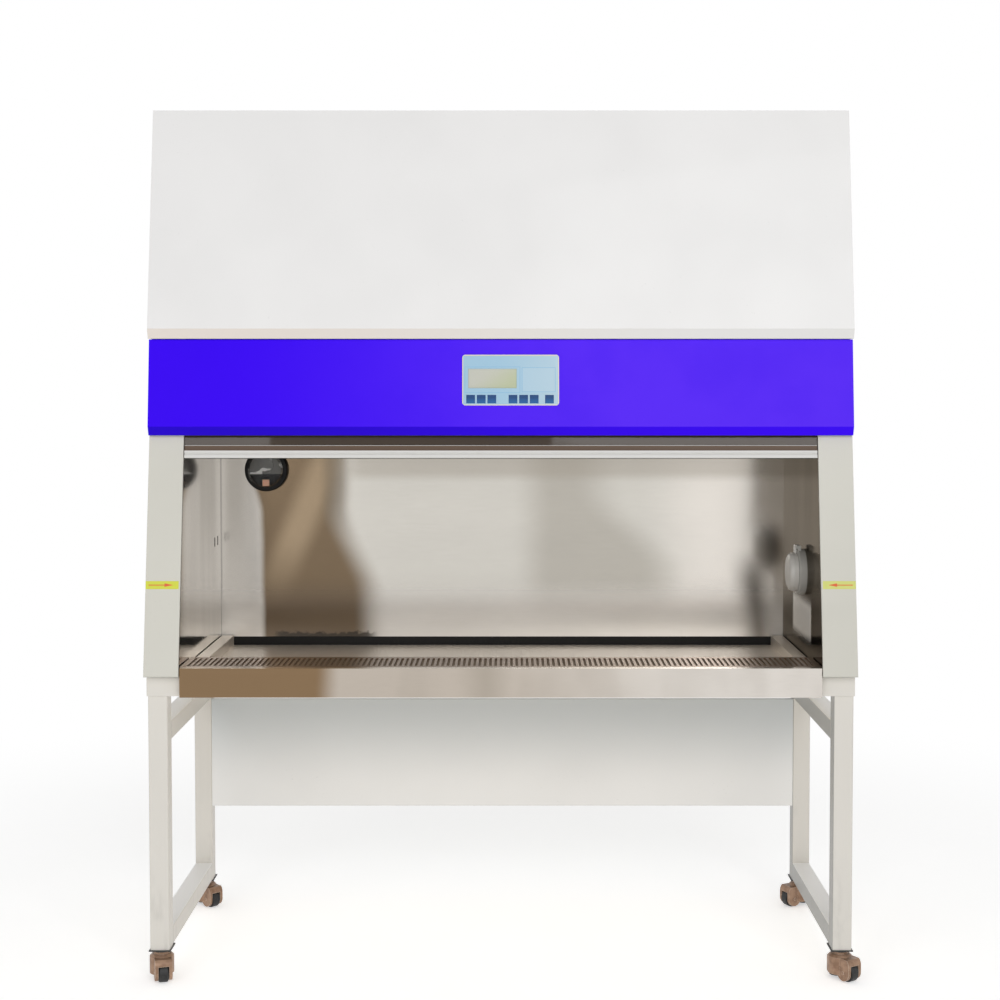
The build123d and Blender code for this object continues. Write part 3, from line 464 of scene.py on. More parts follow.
# painted highlight: each key is lighter towards its lower edge
key_colour_and_highlight = key.mix(rise.ease(0.15, 0.75), tone(14, 86, 146), tone(0, 56, 108))
key_film = key.surface(key.mix(key.noise(0.004, 3) * 0.2, key_colour_and_highlight, tone(30, 96, 152)), 0.4,
                       key.noise(0.0015, 2), 0.00004, 0.0008, Specular_IOR_Level=0.3)
dress(key_film, *[f"membrane_key_{number}" for number in range(1, 8)])

board = Finish("display_and_board")
x, y, z = board.axes()
GLASS_BACK = -0.31                 # the display's glass is in front of this, its board behind
over_glass = (soft_rectangle(x, z, *DISPLAY_GLASS, 0.0005)
              * soft_window(y, GLASS_BACK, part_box("control_fascia")[1].y, 0.001))
# painted sheen: the film's greying towards the upper left
painted_sheen = (x * -9 + z * 12 - 17.9).ease(0, 1.2)     # where the lit film turns from green to grey
film_and_sheen = board.mix(painted_sheen, tone(174, 181, 146), tone(188, 187, 179))
film_and_sheen = board.mix(board.noise(0.01, 4) * 0.3, film_and_sheen, tone(176, 184, 150))
laminate = board.mix(board.noise(0.003, 2).ease(0.52, 0.56), tone(24, 88, 48), tone(60, 120, 70))
display = board.surface(board.mix(over_glass, laminate, film_and_sheen), 0.22, board.noise(0.002, 2),
                        0.00005, Coat_Weight=0.4)
dress(display, "display_board")


# ---- work chamber -------------------------------------------------------------------------
# Satin stainless steel, brushed along its length: the back and side walls, the pan with its
# apron and rim, the slotted front grille, the dished work tray and the perforated ceiling.

# The bands and patches on the back wall, the side walls and the apron are painted reflections and
# painted shade in the steel's colour.
def stainless(name, steel, roughness=0.17, mirror=1.0, painted_reflection=None, dull=None):
    """Brushed stainless sheet. Its colour can carry painted reflections, and dull is where its
    mirror is taken off.
    """
    finish = Finish(name)
    x, y, z = finish.axes()
    brushed = finish.noise(0.0009, 2, (0.02, 1, 1))
    wiped = finish.noise(0.24, 3, (0.7, 1, 1.4))
    colour = painted_reflection(finish, x, y, z) if painted_reflection else steel
    colour = finish.shade(colour, 0.93 + brushed * 0.10 + wiped.ease(0.25, 0.75) * 0.05)
    rough = roughness + (brushed - 0.5) * 0.06 + (wiped - 0.5) * 0.08
    if dull:
        mirror = 1 - dull(x, y, z)
    return finish.surface(colour, rough, brushed, 0.000006, 0.0, Metallic=mirror)


# the back wall's painted reflections and painted shade:
BROWN_FROM, BROWN_TO = (-0.745, -0.72), (-0.535, -0.425)     # the back wall's tints, across it
GREY_FROM, GREY_TO = (0.02, 0.15), (0.20, 0.36)
PALE_FROM = (0.38, 0.62)
CORNER_SHADE = (0.70, 0.775)
WALL_FOOT = (0.84, 0.97)                                     # up it
UNDER_HANDLE = (1.235, 1.275)


def back_wall_reflections(finish, x, y, z):
    """Painted reflections: brown, grey and pale bands, lighter and darker streaks and a pale foot;
    a painted shadow in a corner; and a stain.
    """
    across = x + (finish.noise(0.3, 2) - 0.5) * 0.025
    widening = (1 - z.ease(0.98, 1.22)) * 0.19
    grey = across.ease(*GREY_FROM) * (1 - (across - widening).ease(*GREY_TO))
    colour = finish.mix(across.ease(*PALE_FROM), tone(205, 201, 193), tone(224, 218, 210))
    colour = finish.mix(grey * 0.85, colour, tone(178, 173, 163))
    left_edge = across - (1 - z.ease(1.14, 1.30)) * 0.033
    right_edge = across - (1 - z.ease(0.90, 1.17)) * 0.10
    beside = soft_window(across, -0.80, -0.75, 0.02) * z.ease(0.9, 1.2)
    colour = finish.mix(1 - left_edge.ease(*BROWN_FROM), colour,
                        finish.mix(beside * 0.5, tone(196, 191, 184), tone(160, 155, 147)))
    brown = left_edge.ease(*BROWN_FROM) * (1 - right_edge.ease(*BROWN_TO))
    colour = finish.mix(brown, colour, tone(118, 101, 81))
    leaning = across - (z - 1.1) * 0.42
    leaning_light = soft_window(leaning, -0.64, -0.55, 0.035) * z.ease(0.85, 1.1)
    colour = finish.mix(leaning_light * brown * 0.6, colour, tone(172, 152, 126))
    seam_shade = soft_window(right_edge, -0.52, -0.46, 0.02) * z.ease(1.05, 1.2)
    colour = finish.mix(seam_shade * 0.5, colour, tone(104, 92, 76))
    # painted reflection: a paler band high on the wall
    under_handle = z.ease(*UNDER_HANDLE) * across.ease(-0.50, -0.40)
    colour = finish.mix(under_handle * 0.5, colour, tone(164, 156, 143))
    shadow = (soft_window(x + (z - 0.9) * 0.12, *CORNER_SHADE, 0.045)
              * (1 - z.ease(0.94, 1.06)))
    colour = finish.mix(shadow * 0.75, colour, tone(92, 86, 78))
    # painted light: a pale foot
    foot = (1 - z.ease(*WALL_FOOT)) * (1 - shadow) * (1 - brown)
    colour = finish.mix(foot * 0.8, colour, tone(246, 242, 236))
    ragged = z + (finish.noise(0.018, 3) - 0.5) * 0.03
    stained = (1 - ragged.ease(0.797, 0.806)) * soft_window(across, -0.66, -0.38, 0.02)
    return finish.mix(stained * 0.85, colour, tone(44, 38, 32))


APRON_BROWN_TO = (-0.47, -0.40)
APRON_PALE_FROM = (-0.10, 0.60)
APRON_TOP = (-0.352, -0.346)       # its folded top lies behind this depth


def apron_reflections(finish, x, y, z):
    """Painted reflections: brown at the left, grey in the middle and pale at the right, with
    painted light on the folded top.
    """
    across = x + (finish.noise(0.2, 2) - 0.5) * 0.03
    colour = finish.mix(across.ease(*APRON_BROWN_TO), tone(136, 112, 85), tone(190, 180, 168))
    colour = finish.mix(across.ease(*APRON_PALE_FROM), colour, tone(217, 211, 204))
    cloudy = finish.noise(0.17, 2, (1, 1, 0.5)).ease(0.42, 0.62) * across.ease(-0.45, -0.35)
    colour = finish.mix(cloudy * 0.2, colour, tone(158, 149, 136))
    middle = soft_window(across, -0.08, 0.0, 0.05)
    colour = finish.mix(middle * 0.6, colour, tone(160, 151, 138))
    return finish.mix(y.ease(*APRON_TOP), colour, tone(234, 220, 200))


STEEL = tone(197, 191, 184)


def unmirrored_foot(x, y, z):
    """Where the back wall's foot loses its mirror, so that its painted light shows."""
    return (1 - z.ease(0.84, 0.98)) * 0.8


dress(stainless("back_wall_steel", STEEL, painted_reflection=back_wall_reflections, dull=unmirrored_foot),
      "chamber_back_wall")

# The first is painted shade on the right wall's glancing mirror; the last pair places a pale
# painted reflection on that wall.
GLANCING_SHADE = (0.50, 0.47, 0.43, 1.0)     # how much of its glancing mirror the right wall keeps
SIDE_SEAM = (0.290, 0.304)                 # of the left wall, in depth
PALE_REFLECTION_DEPTH, PALE_REFLECTION_HEIGHT = (-0.165, 0.125), (0.84, 0.945)
sides = Finish("side_wall_steel")
x, y, z = sides.axes()
drawn = sides.noise(0.0009, 2, (1, 0.02, 1))
reflection_streak = sides.noise(0.12, 2, (1, 1, 0.12)).ease(0.35, 0.7)
# painted reflections: the left wall is pale, with long upright streaks
left = sides.mix(reflection_streak * 0.7, tone(216, 213, 208), tone(242, 240, 236))
left = sides.mix(soft_window(y, *SIDE_SEAM, 0.002) * 0.7, left, tone(96, 92, 86))
# painted shade: the right wall is a darker copy, with a pale painted reflection low down
right = sides.mix(reflection_streak * 0.6, tone(96, 91, 84), tone(128, 122, 114))
pale_reflection = soft_window(y, *PALE_REFLECTION_DEPTH, 0.012) * soft_window(z, *PALE_REFLECTION_HEIGHT, 0.02)
right = sides.mix(pale_reflection, right, tone(252, 249, 243))
# painted shade in the right wall's front lower corner
corner = (1 - y.ease(-0.32, -0.18)) * (1 - z.ease(0.86, 1.0))
right = sides.mix(corner * 0.8, right, tone(38, 36, 34))
lit_left_side = sides.coat(left, 0.07 + drawn * 0.05, drawn, 0.000006, Metallic=1.0)
shaded_right_side = sides.coat(right, 0.10 + drawn * 0.05, drawn, 0.000006,
                       Metallic=1 - pale_reflection, Specular_Tint=GLANCING_SHADE)
both_sides = sides.node("MixShader", (), {0: right_half(x), 1: lit_left_side, 2: shaded_right_side})
dress(sides.finished(both_sides), "chamber_side_walls")

dress(stainless("apron_steel", STEEL, painted_reflection=apron_reflections), "drain_pan")
dress(stainless("grille_steel", tone(120, 94, 72), roughness=0.3), "front_air_grille")
dress(stainless("tray_steel", tone(238, 228, 215), roughness=0.32, mirror=0.55), "work_tray")
dress(stainless("ceiling_steel", tone(190, 186, 180), roughness=0.32), "supply_diffuser")


# ---- return slot shade and intake gauze ---------------------------------------------------
# A black sheet with a weave, painted shade for the return slot, hangs behind the back wall
# and dips below its lower edge. Brown woven steel gauze lies close under the front grille's slots.

SCREEN_GAP = 0.0006
SCREEN_THICK = 0.0016
SCREEN_SIDE = 0.004
SCREEN_LAP = 0.030                 # up behind the wall, and down below the tray's rim
# painted shade: a black sheet behind the return slot
screen = Finish("return_slot_shade")
weave = screen.noise(0.0016, 3)
cloth = screen.mix(weave.ease(0.4, 0.75), tone(17, 16, 15), tone(36, 34, 32))
slot_shade_black = screen.surface(cloth, 0.9, weave, 0.0003)
wall_low, wall_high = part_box("chamber_back_wall")
tray_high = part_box("work_tray")[1].z
behind = wall_high.y + SCREEN_GAP
slot_shade_sheet = bmesh.new()
add_block(slot_shade_sheet, (wall_low.x + SCREEN_SIDE, behind, tray_high - SCREEN_LAP),
          (wall_high.x - SCREEN_SIDE, behind + SCREEN_THICK, wall_low.z + SCREEN_LAP))
add_piece("return_slot_shade", slot_shade_sheet, slot_shade_black, "cabinet")

GAUZE_DROP = 0.0026                # below the grille's top, just clear of its 2 mm sheet
GAUZE_THICK = 0.0008
GAUZE_SIDE = 0.0075
GAUZE_FRONT, GAUZE_REAR = 0.003, 0.0045
WIRES = 5200                       # radians per metre: one wire in 1.2 mm
gauze = Finish("intake_gauze")
x, y, z = gauze.axes()
woven = ((x * WIRES).maths("SINE") * (y * WIRES).maths("SINE")).ease(-0.2, 0.8)
gauze_steel = gauze.surface(gauze.mix(woven, tone(112, 92, 72), tone(142, 121, 98)), 0.6, woven,
                            0.0001, Metallic=0.3)
grille_low, grille_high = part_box("front_air_grille")
top = grille_high.z - GAUZE_DROP
gauze_sheet = bmesh.new()
add_block(gauze_sheet, (grille_low.x + GAUZE_SIDE, grille_low.y + GAUZE_FRONT, top - GAUZE_THICK),
          (grille_high.x - GAUZE_SIDE, grille_high.y - GAUZE_REAR, top))
add_piece("intake_gauze", gauze_sheet, gauze_steel, "cabinet")


# ---- seals beside the opening -------------------------------------------------------------
# Black brush seals are glued along the sash guides, on the chamber side and on the column
# side of the glass, from the rim almost to the top of the guides.

SEAL_INNER = 0.8136
GUIDE_INNER = 0.816
SEAL_DEPTHS = ((-0.0022, -0.0065), (-0.0156, -0.0174))      # before and behind the glass
SEAL_FOOT_GAP, SEAL_HEAD_GAP = 0.004, 0.03                  # from the rim and the guides' tops
rim_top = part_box("drain_pan")[1].z
guide_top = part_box("sash_tracks")[1].z

rubber = Finish("brush_seal")
bristle = rubber.noise(0.0012, 2, (1, 1, 0.3))
seal_black = rubber.surface(rubber.mix(bristle.ease(0.3, 0.8), tone(24, 23, 22), tone(66, 62, 58)),
                            0.85, bristle, 0.0004)
for side, sign in (("right", 1), ("left", -1)):
    seal = bmesh.new()
    reach = sorted((sign * SEAL_INNER, sign * GUIDE_INNER))
    foot = (rim_top - SHELL_BOTTOM) / cos(LEAN) + SEAL_FOOT_GAP
    head = (guide_top - SHELL_BOTTOM) / cos(LEAN) - SEAL_HEAD_GAP
    for front, back in SEAL_DEPTHS:
        add_block(seal, (reach[0], foot, back), (reach[1], head, front))
    seal.transform(FRONT_LEAN)
    add_piece(f"brush_seal_{side}", seal, seal_black, "cabinet")


# ---- supply and exhaust air ---------------------------------------------------------------
# Pleated glass-paper media held in aluminium frames, over the chamber and under the roof
# guard. The plenum, the scroll casing and the guard are galvanised sheet.

def bright_metal(name, colour, roughness, spangle, contrast=0.25):
    """Bare light metal with a crystal or drawn pattern on it."""
    finish = Finish(name)
    patch = finish.node("TexVoronoi", (), {"Vector": finish.place(), "Scale": 1 / spangle}, "Color")
    grey = finish.node("SeparateColor", (), {0: patch})
    shade = finish.mix(grey * contrast, colour, darker(colour, 0.72))
    shade = finish.mix(finish.noise(0.05, 4).ease(0.5, 0.8) * 0.3, shade, darker(colour, 0.6))
    return finish.surface(shade, roughness + (grey - 0.5) * 0.12, finish.noise(0.002, 3), 0.00004,
                          0.0, Metallic=1.0)


galvanised = bright_metal("galvanised_sheet", tone(176, 180, 182), 0.38, 0.014)
dress(galvanised, "fan_plenum", "exhaust_guard", "pulley_brackets")
dress(bright_metal("filter_frame_aluminium", tone(205, 205, 203), 0.42, 0.003, 0.12),
      "supply_filter", "exhaust_filter")

paper = Finish("filter_paper")
fibre = paper.noise(0.0016, 4)
pleat_paper = paper.surface(paper.mix(fibre, tone(240, 239, 233), tone(220, 219, 210)), 0.9,
                            fibre, 0.0003)
PLEAT = 0.004
PLEAT_DEPTH = 0.024
PLEAT_GAP = 0.0035                 # between the two faces' media
FRAME_BAR = 0.022
MOTOR_DEPTH = 0.121                # behind the casing
for name in ("supply_filter", "exhaust_filter"):
    low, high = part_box(name)
    low_x, high_x = low.x + FRAME_BAR, high.x - FRAME_BAR
    low_y, high_y = low.y + FRAME_BAR, high.y - FRAME_BAR
    middle = (low.z + high.z) / 2
    folds = 2 * round((high_x - low_x) / PLEAT / 2)
    for face, sign in (("lower", -1), ("upper", 1)):
        pleats = bmesh.new()
        bmesh.ops.create_grid(pleats, x_segments=folds, y_segments=1, size=0.5)
        for vertex in pleats.verts:
            column = round((vertex.co.x + 0.5) * folds)
            lift = PLEAT_GAP + (PLEAT_DEPTH if column % 2 else 0)
            vertex.co = (low_x + (vertex.co.x + 0.5) * (high_x - low_x),
                         low_y + (vertex.co.y + 0.5) * (high_y - low_y), middle + sign * lift)
        if sign < 0:
            bmesh.ops.reverse_faces(pleats, faces=pleats.faces[:])
        add_piece(f"{name}_{face}_pleats", pleats, pleat_paper, "cabinet")

motor = Finish("casing_and_motor")
x, y, z = motor.axes()
motor_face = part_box("blower_housing")[1].y - MOTOR_DEPTH
in_motor = 1 - y.ease(motor_face - 0.0005, motor_face + 0.0005)
sheet = motor.mix(motor.noise(0.02, 3), tone(176, 180, 182), tone(142, 146, 149))
enamel = motor.mix(motor.noise(0.02, 3), tone(48, 56, 62), tone(66, 74, 80))
casing = motor.surface(motor.mix(in_motor, sheet, enamel), 0.42 + motor.noise(0.01, 2) * 0.1,
                       motor.noise(0.002, 2), 0.00008, Metallic=1 - in_motor)
dress(casing, "blower_housing")
dress(bright_metal("pressed_aluminium", tone(196, 198, 200), 0.33, 0.006, 0.1),
      "blower_impeller")


# ---- lamps --------------------------------------------------------------------------------
# A fluorescent tube under the ceiling and an ultraviolet tube on the back wall, each with
# crimped aluminium end caps, clipped into moulded white holders.

phosphor = Finish("lamp_phosphor")
x, y, z = phosphor.axes()
tube_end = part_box("fluorescent_lamp")[1].x
end_dark = abs(x).ease(tube_end - 0.06, tube_end - 0.015)
powder = phosphor.mix(phosphor.noise(0.02, 3) * 0.4, tone(244, 246, 247), tone(230, 234, 236))
lamp_white = phosphor.surface(phosphor.mix(end_dark * 0.4, powder, tone(176, 178, 180)), 0.16,
                              phosphor.noise(0.01, 2), 0.00002, Coat_Weight=0.3)
dress(lamp_white, "fluorescent_lamp", "uv_lamp")

moulding = Finish("white_moulding")
white_moulding = moulding.surface(
    moulding.mix(moulding.noise(0.02, 3), tone(232, 232, 228), tone(218, 218, 212)), 0.45,
    moulding.noise(0.0009, 2), 0.00005, 0.0008)
dress(white_moulding, "lamp_holders")

cap_metal = bright_metal("lamp_cap_aluminium", tone(208, 209, 210), 0.28, 0.002, 0.1)
CAP_LENGTH = 0.018
CAP_PROUD = 0.0006                 # over the glass
CAP_SHORT = 0.0005                 # of the tube's end
for name in ("fluorescent_lamp", "uv_lamp"):
    low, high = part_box(name)
    radius = (high.z - low.z) / 2 + CAP_PROUD
    caps = bmesh.new()
    for sign in (1, -1):
        place = (Matrix.Translation((sign * (high.x - CAP_LENGTH / 2 - CAP_SHORT),
                                     (low.y + high.y) / 2, (low.z + high.z) / 2))
                 @ Matrix.Rotation(pi / 2, 4, "Y"))
        bmesh.ops.create_cone(caps, cap_ends=True, segments=32, radius1=radius, radius2=radius,
                              depth=CAP_LENGTH, matrix=place)
    round_edges(caps, 0.0008)
    add_piece(f"{name}_caps", caps, cap_metal, "cabinet")


# ---- sash ---------------------------------------------------------------------------------
# Laminated glass in an anodised aluminium grip rail, sliding in aluminium channels. The glass
# is clear and faintly green, with a band of painted shade above the rail.

def thin_glass(name, tint, sheen, haze=0.05, shading_band=None):
    """Clear sheet that mirrors at a glancing angle, with an optional band of painted shade."""
    finish = Finish(name)
    smear = finish.noise(0.12, 4).ease(0.5, 0.8)
    cover = finish.node("Fresnel", (), {"IOR": 1.45}) * sheen + haze + smear * 0.03
    colour = finish.mix(smear * 0.3, tint, tone(255, 255, 255))
    metal = 1.0
    if shading_band:
        band_shade = shading_band(finish)
        colour = finish.mix(band_shade, colour, tone(66, 54, 43))
        cover = cover.maths("MAXIMUM", band_shade * 0.94)
        metal = 1 - band_shade
    return finish.surface(colour, 0.03 + smear * 0.08, None, 0, Metallic=metal,
                          Specular_IOR_Level=0.3, Alpha=cover.maths("MINIMUM", 1.0))


GRIP_HEIGHT = 0.0212
FLANGE_TOP = 0.0335
UNDER_EDGE = (0.0018, 0.0024)      # the shaded underside of the rail lies below this
SHADE_BAND_HEIGHT = 0.060
rail_low, hanger_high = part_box("sash_rail_and_hangers")
SHADE_BAND_TOP = rail_low.z + SHADE_BAND_HEIGHT


# painted shade: the glass is dark from the rail up to this band's top
def glass_shade_band(finish):
    x, y, z = finish.axes()
    return 1 - z.ease(SHADE_BAND_TOP - 0.001, SHADE_BAND_TOP + 0.001)


dress(thin_glass("sash_safety_glass", tone(214, 226, 220), 1.0, shading_band=glass_shade_band),
      "sash_glass")

anodised = Finish("anodised_rail")
x, y, z = anodised.axes()
drawn = anodised.noise(0.002, 2, (0.02, 1, 1))
rail_tone = anodised.mix(drawn.ease(0.3, 0.8) * 0.2, tone(212, 211, 207), tone(200, 199, 194))
rail_tone = anodised.mix(anodised.noise(0.09, 4).ease(0.55, 0.8) * 0.3, rail_tone,
                         tone(184, 180, 173))
up = z - rail_low.z
# painted shade: the groove above the grip is painted dark brown
rail_tone = anodised.mix(soft_window(up, GRIP_HEIGHT, FLANGE_TOP, 0.0004), rail_tone,
                         tone(92, 72, 56))
rail_tone = anodised.mix(1 - up.ease(*UNDER_EDGE), rail_tone, tone(72, 84, 78))
rail_coat = anodised.surface(rail_tone, 0.38 + drawn * 0.08, drawn, 0.00002, 0.0006,
                             Specular_IOR_Level=0.3)
dress(rail_coat, "sash_rail_and_hangers", "sash_tracks")


# ---- sash cables, pulleys and counterweights ----------------------------------------------
# A stranded steel cable runs from each upper corner of the sash over a nylon pulley to an
# iron bar beside the chamber. The run over the pulley keeps its place on the cabinet; the
# straight runs, which lengthen and shorten with the sash and its weights, are fixed to no body.

CABLE_RADIUS = 0.0015
CABLE_SIDES = 8
CABLE_STEPS = 14
BEND_STEPS = 20
STRANDS = 900                      # radians per metre: one strand in 7 mm
CABLE_LAP = 0.004                  # of the rear run into the weight
CLIP_GAP = 0.004                   # the front run stops this far above the clip on the sash
PULLEY_PITCH_RADIUS = 0.030
strand = Finish("stranded_cable")
x, y, z = strand.axes()
wires = ((x + y + z * 1.3) * STRANDS).maths("SINE")
strand_tone = strand.mix(wires.ease(-0.5, 0.8), tone(92, 92, 94), tone(178, 178, 180))
cable_steel = strand.surface(strand_tone, 0.35, wires, 0.0002, Metallic=1.0)
wheel_low, wheel_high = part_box("sash_pulley_right")
PULLEY_X = (wheel_low.x + wheel_high.x) / 2
PULLEY_AXIS = Vector((0, (wheel_low.y + wheel_high.y) / 2, (wheel_low.z + wheel_high.z) / 2))
weight_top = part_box("counterweight_right")[1].z
slope = Vector((0, sin(LEAN), cos(LEAN)))
inward = Vector((0, cos(LEAN), -sin(LEAN)))
front_tangent = PULLEY_AXIS - inward * PULLEY_PITCH_RADIUS
rear_tangent = PULLEY_AXIS + Vector((0, PULLEY_PITCH_RADIUS, 0))
front_length = (front_tangent.z - hanger_high.z) / cos(LEAN) - CLIP_GAP


def cable_ring(form, middle, along):
    """Starts a cable with one round section, square to its run."""
    turn = Vector(along).to_track_quat("Z", "Y").to_matrix().to_4x4()
    bmesh.ops.create_circle(form, segments=CABLE_SIDES, radius=CABLE_RADIUS,
                            matrix=Matrix.Translation(middle) @ turn)


def straight_run(name, start, end):
    form = bmesh.new()
    cable_ring(form, start, end - start)
    edges = form.edges[:]
    for step in range(CABLE_STEPS):
        grown = bmesh.ops.extrude_edge_only(form, edges=edges)["geom"]
        edges = [e for e in grown if isinstance(e, bmesh.types.BMEdge)
                 and all(v in grown for v in e.verts)]
        bmesh.ops.translate(form, verts=[v for v in grown if isinstance(v, bmesh.types.BMVert)],
                            vec=(end - start) / CABLE_STEPS)
    bmesh.ops.holes_fill(form, edges=form.edges[:], sides=CABLE_SIDES)
    bmesh.ops.recalc_face_normals(form, faces=form.faces[:])
    return add_piece(name, form, cable_steel, None, ["sash_cables"], smooth=True)


for side, sign in (("right", 1), ("left", -1)):
    across = Vector((sign * PULLEY_X, 0, 0))
    sash_end = across + front_tangent - slope * front_length
    front_run = straight_run(f"cable_to_sash_{side}", across + front_tangent, sash_end)
    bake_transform(front_run)
    weight_end = Vector((sign * PULLEY_X, rear_tangent.y, weight_top - CABLE_LAP))
    rear_run = straight_run(f"cable_to_weight_{side}", across + rear_tangent, weight_end)
    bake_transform(rear_run)

    bend = bmesh.new()
    cable_ring(bend, across + front_tangent, slope)
    bmesh.ops.spin(bend, geom=bend.edges[:], cent=across + PULLEY_AXIS, axis=(-1, 0, 0),
                   angle=pi - LEAN, steps=BEND_STEPS, use_duplicate=False)
    bmesh.ops.recalc_face_normals(bend, faces=bend.faces[:])
    add_piece(f"cable_over_pulley_{side}", bend, cable_steel, "cabinet",
              ["sash_cables"], smooth=True)

nylon = Finish("pulley_nylon")
pulley_nylon = nylon.surface(nylon.mix(nylon.noise(0.006, 3), tone(44, 45, 48), tone(70, 71, 74)),
                             0.4, nylon.noise(0.001, 2), 0.00005, 0.0006)
dress(pulley_nylon, "sash_pulley_right", "sash_pulley_left")
iron = Finish("cast_weight_iron")
sand = iron.noise(0.0018, 4)
rust = iron.noise(0.03, 4).ease(0.58, 0.7)
weight_iron = iron.surface(iron.mix(rust * 0.5, iron.mix(sand, tone(52, 53, 56), tone(84, 84, 86)),
                                    tone(96, 62, 44)), 0.62, sand, 0.0005, 0.001)
dress(weight_iron, "counterweight_right", "counterweight_left")


# ---- chamber sockets ----------------------------------------------------------------------
# Splash-proof sockets: a black moulded box screwed to the wall, an outlet and a lit rocker
# switch in it, and a hinged clear lid. The one on the side wall is grey, and its lid is an
# opaque pale grey that paints the reflection on a clear lid.

NEARLY_BLACK = 0.02


def moulded(name, colour, roughness=0.4):
    """Moulded plastic. Black wears greyer, and any other colour wears darker."""
    finish = Finish(name)
    fine = finish.noise(0.0011, 2)
    soft = finish.noise(0.02, 3)
    worn = tone(70, 70, 70) if colour[0] < NEARLY_BLACK else darker(colour, 0.85)
    coat = finish.mix(soft.ease(0.3, 0.8) * 0.4, colour, worn)
    return finish.surface(coat, roughness + (soft - 0.5) * 0.15, fine, 0.00006, 0.0006,
                          Coat_Weight=0.2)


SOCKET_RADIUS = 0.062
SOCKET_RECESS = 0.049
FACEPLATE_EDGE = (-0.014, -0.010)  # its lower edge, from the socket's middle
base_low, base_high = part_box("socket_base_back")
SOCKET_X = (base_low.x + base_high.x) / 2
SOCKET_Z = base_low.z + SOCKET_RADIUS

case = Finish("socket_case")
x, y, z = case.axes()
out, up = x - SOCKET_X, z - SOCKET_Z
radial = (out * out + up * up).maths("SQRT")
faceplate = (1 - radial.ease(SOCKET_RECESS - 0.001, SOCKET_RECESS)) * up.ease(*FACEPLATE_EDGE)
case_tone = case.mix(case.noise(0.02, 3).ease(0.4, 0.8), tone(15, 14, 14), tone(30, 28, 27))
glint = case.noise(0.03, 1, (1, 1, 1.6)).ease(0.5, 0.6)
plate_tone = case.mix(glint, tone(126, 125, 121), tone(255, 255, 252))
case_tone = case.mix(faceplate, case_tone, plate_tone)
socket_case = case.surface(case_tone, 0.45, case.noise(0.0011, 2), 0.00005, 0.0006,
                           Specular_IOR_Level=0.25)
dress(socket_case, "socket_base_back")
dress(moulded("inlet_black", tone(24, 23, 23)), "power_inlet")
dress(moulded("socket_grey", tone(176, 174, 168)), "socket_base_side")
dress(thin_glass("clear_lid", tone(196, 198, 198), 0.4, 0.0), "socket_lid_back")
# painted reflection: the side socket's lid is opaque pale grey
dress(moulded("lid_painted_reflection", tone(206, 203, 197), 0.38), "socket_lid_side")

ROCKER_WIDTH, ROCKER_HEIGHT, ROCKER_THICK = 0.020, 0.019, 0.003
ROCKER_DROP = 0.037
ROCKER_FRONT = 0.0211
neon = Finish("rocker_glow")
neon_tone = neon.mix(neon.noise(0.004, 3), tone(255, 204, 170), tone(255, 172, 130))
rocker_glow = neon.surface(neon_tone, 0.3, neon.noise(0.002, 2), 0.00004, Coat_Weight=0.3)
front = wall_low.y - ROCKER_FRONT
level = SOCKET_Z - ROCKER_DROP
rocker = bmesh.new()
add_block(rocker,
          (SOCKET_X - ROCKER_WIDTH / 2, front - ROCKER_THICK, level - ROCKER_HEIGHT / 2),
          (SOCKET_X + ROCKER_WIDTH / 2, front, level + ROCKER_HEIGHT / 2))
round_edges(rocker, 0.0012)
add_piece("socket_rocker_back", rocker, rocker_glow, "cabinet")


# ---- base and stand -----------------------------------------------------------------------
# Welded square steel tube under a folded base channel, both in a warmer grey-white powder
# coat. A folded skirt closes the back, and black plates under the legs carry the castors.

# The stand's coat has painted shade on the right frame's inward faces and painted light on faces
# that look up.
stand_coat = powder_coat("stand_powder_coat", tone(213, 209, 201), 0.45, soiled_to=0.4)
dress(stand_coat, "base_frame", "stand_frame")
# the skirt has painted shade along its top, under the pan
dress(powder_coat("skirt_powder_coat", tone(230, 229, 226), 0.45, shaded=(0.34, 0.61)),
      "stand_rear_panel")
dress(moulded("castor_plate_black", tone(28, 27, 27), 0.5), "caster_mounts")


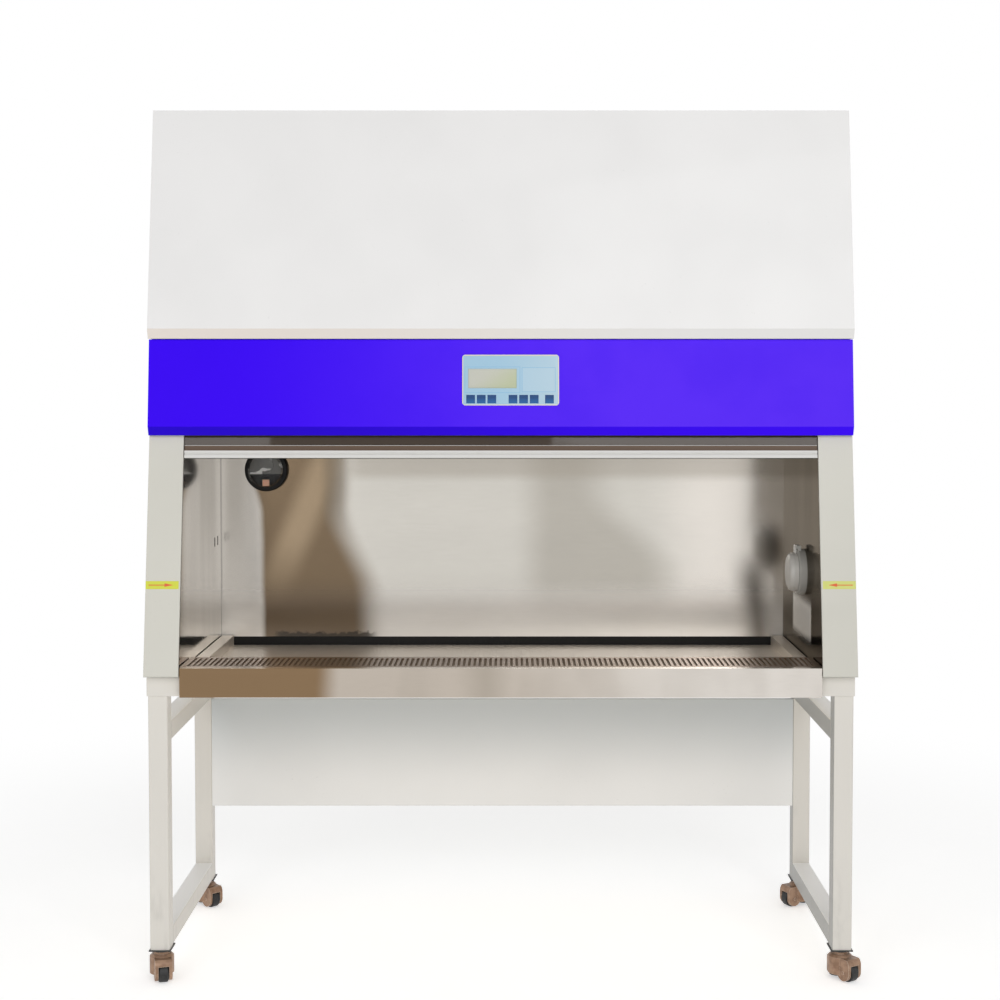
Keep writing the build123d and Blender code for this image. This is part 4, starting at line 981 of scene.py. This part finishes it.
# ---- levelling castors --------------------------------------------------------------------
# Cast beige housings, darkened to brown by painted shade, each with a black nylon wheel on one
# side of the kingpin and a rubber levelling foot on the other. Painted highlights pale their edges.

HIGHLIGHT_RADIUS = 0.0022


def shaded_castor_housing():
    """Beige coat darkened to brown by painted shade, with painted highlights where the surface
    turns within the highlight radius.
    """
    finish = Finish("castor_housing_shade_and_highlight")
    cut = finish.node("Bevel", {"samples": 4}, {"Radius": HIGHLIGHT_RADIUS})
    flat = finish.node("NewGeometry", out="Normal")
    square = finish.node("VectorMath", {"operation": "DOT_PRODUCT"}, {0: cut, 1: flat}, "Value")
    # painted highlight where the surface turns
    worn = (1 - square).ease(0.02, 0.22)
    sand = finish.noise(0.0022, 4)
    patch = finish.noise(0.018, 3)
    # painted shade: the beige housing is painted brown
    coat = finish.mix(patch.ease(0.3, 0.75), tone(164, 132, 108), tone(130, 100, 78))
    coat = finish.mix(sand.ease(0.5, 0.8) * 0.4, coat, tone(106, 80, 62))
    coat = finish.mix(worn * 0.8, coat, tone(226, 208, 190))
    return finish.surface(coat, 0.4 + (patch - 0.5) * 0.2, sand, 0.0002, 0.0012, Metallic=0.25)


corners = ("front_left", "front_right", "rear_left", "rear_right")
dress(shaded_castor_housing(), *[f"caster_housing_{corner}" for corner in corners])
tread = Finish("wheel_nylon")
scuffed = tread.noise(0.004, 4)
tread_tone = tread.mix(scuffed.ease(0.5, 0.8) * 0.5, tone(20, 20, 20), tone(70, 68, 66))
wheel_nylon = tread.surface(tread_tone, 0.42 + scuffed * 0.2, tread.noise(0.0014, 3), 0.0002,
                            0.0008)
dress(wheel_nylon, *[f"caster_wheel_{corner}" for corner in corners])
sole = Finish("foot_rubber")
grime = sole.noise(0.006, 4)
sole_tone = sole.mix(grime.ease(0.45, 0.8) * 0.6, tone(30, 29, 29), tone(92, 88, 82))
foot_rubber = sole.surface(sole_tone, 0.75, sole.noise(0.001, 3), 0.0002, 0.0006)
dress(foot_rubber, *[f"caster_foot_{corner}" for corner in corners])
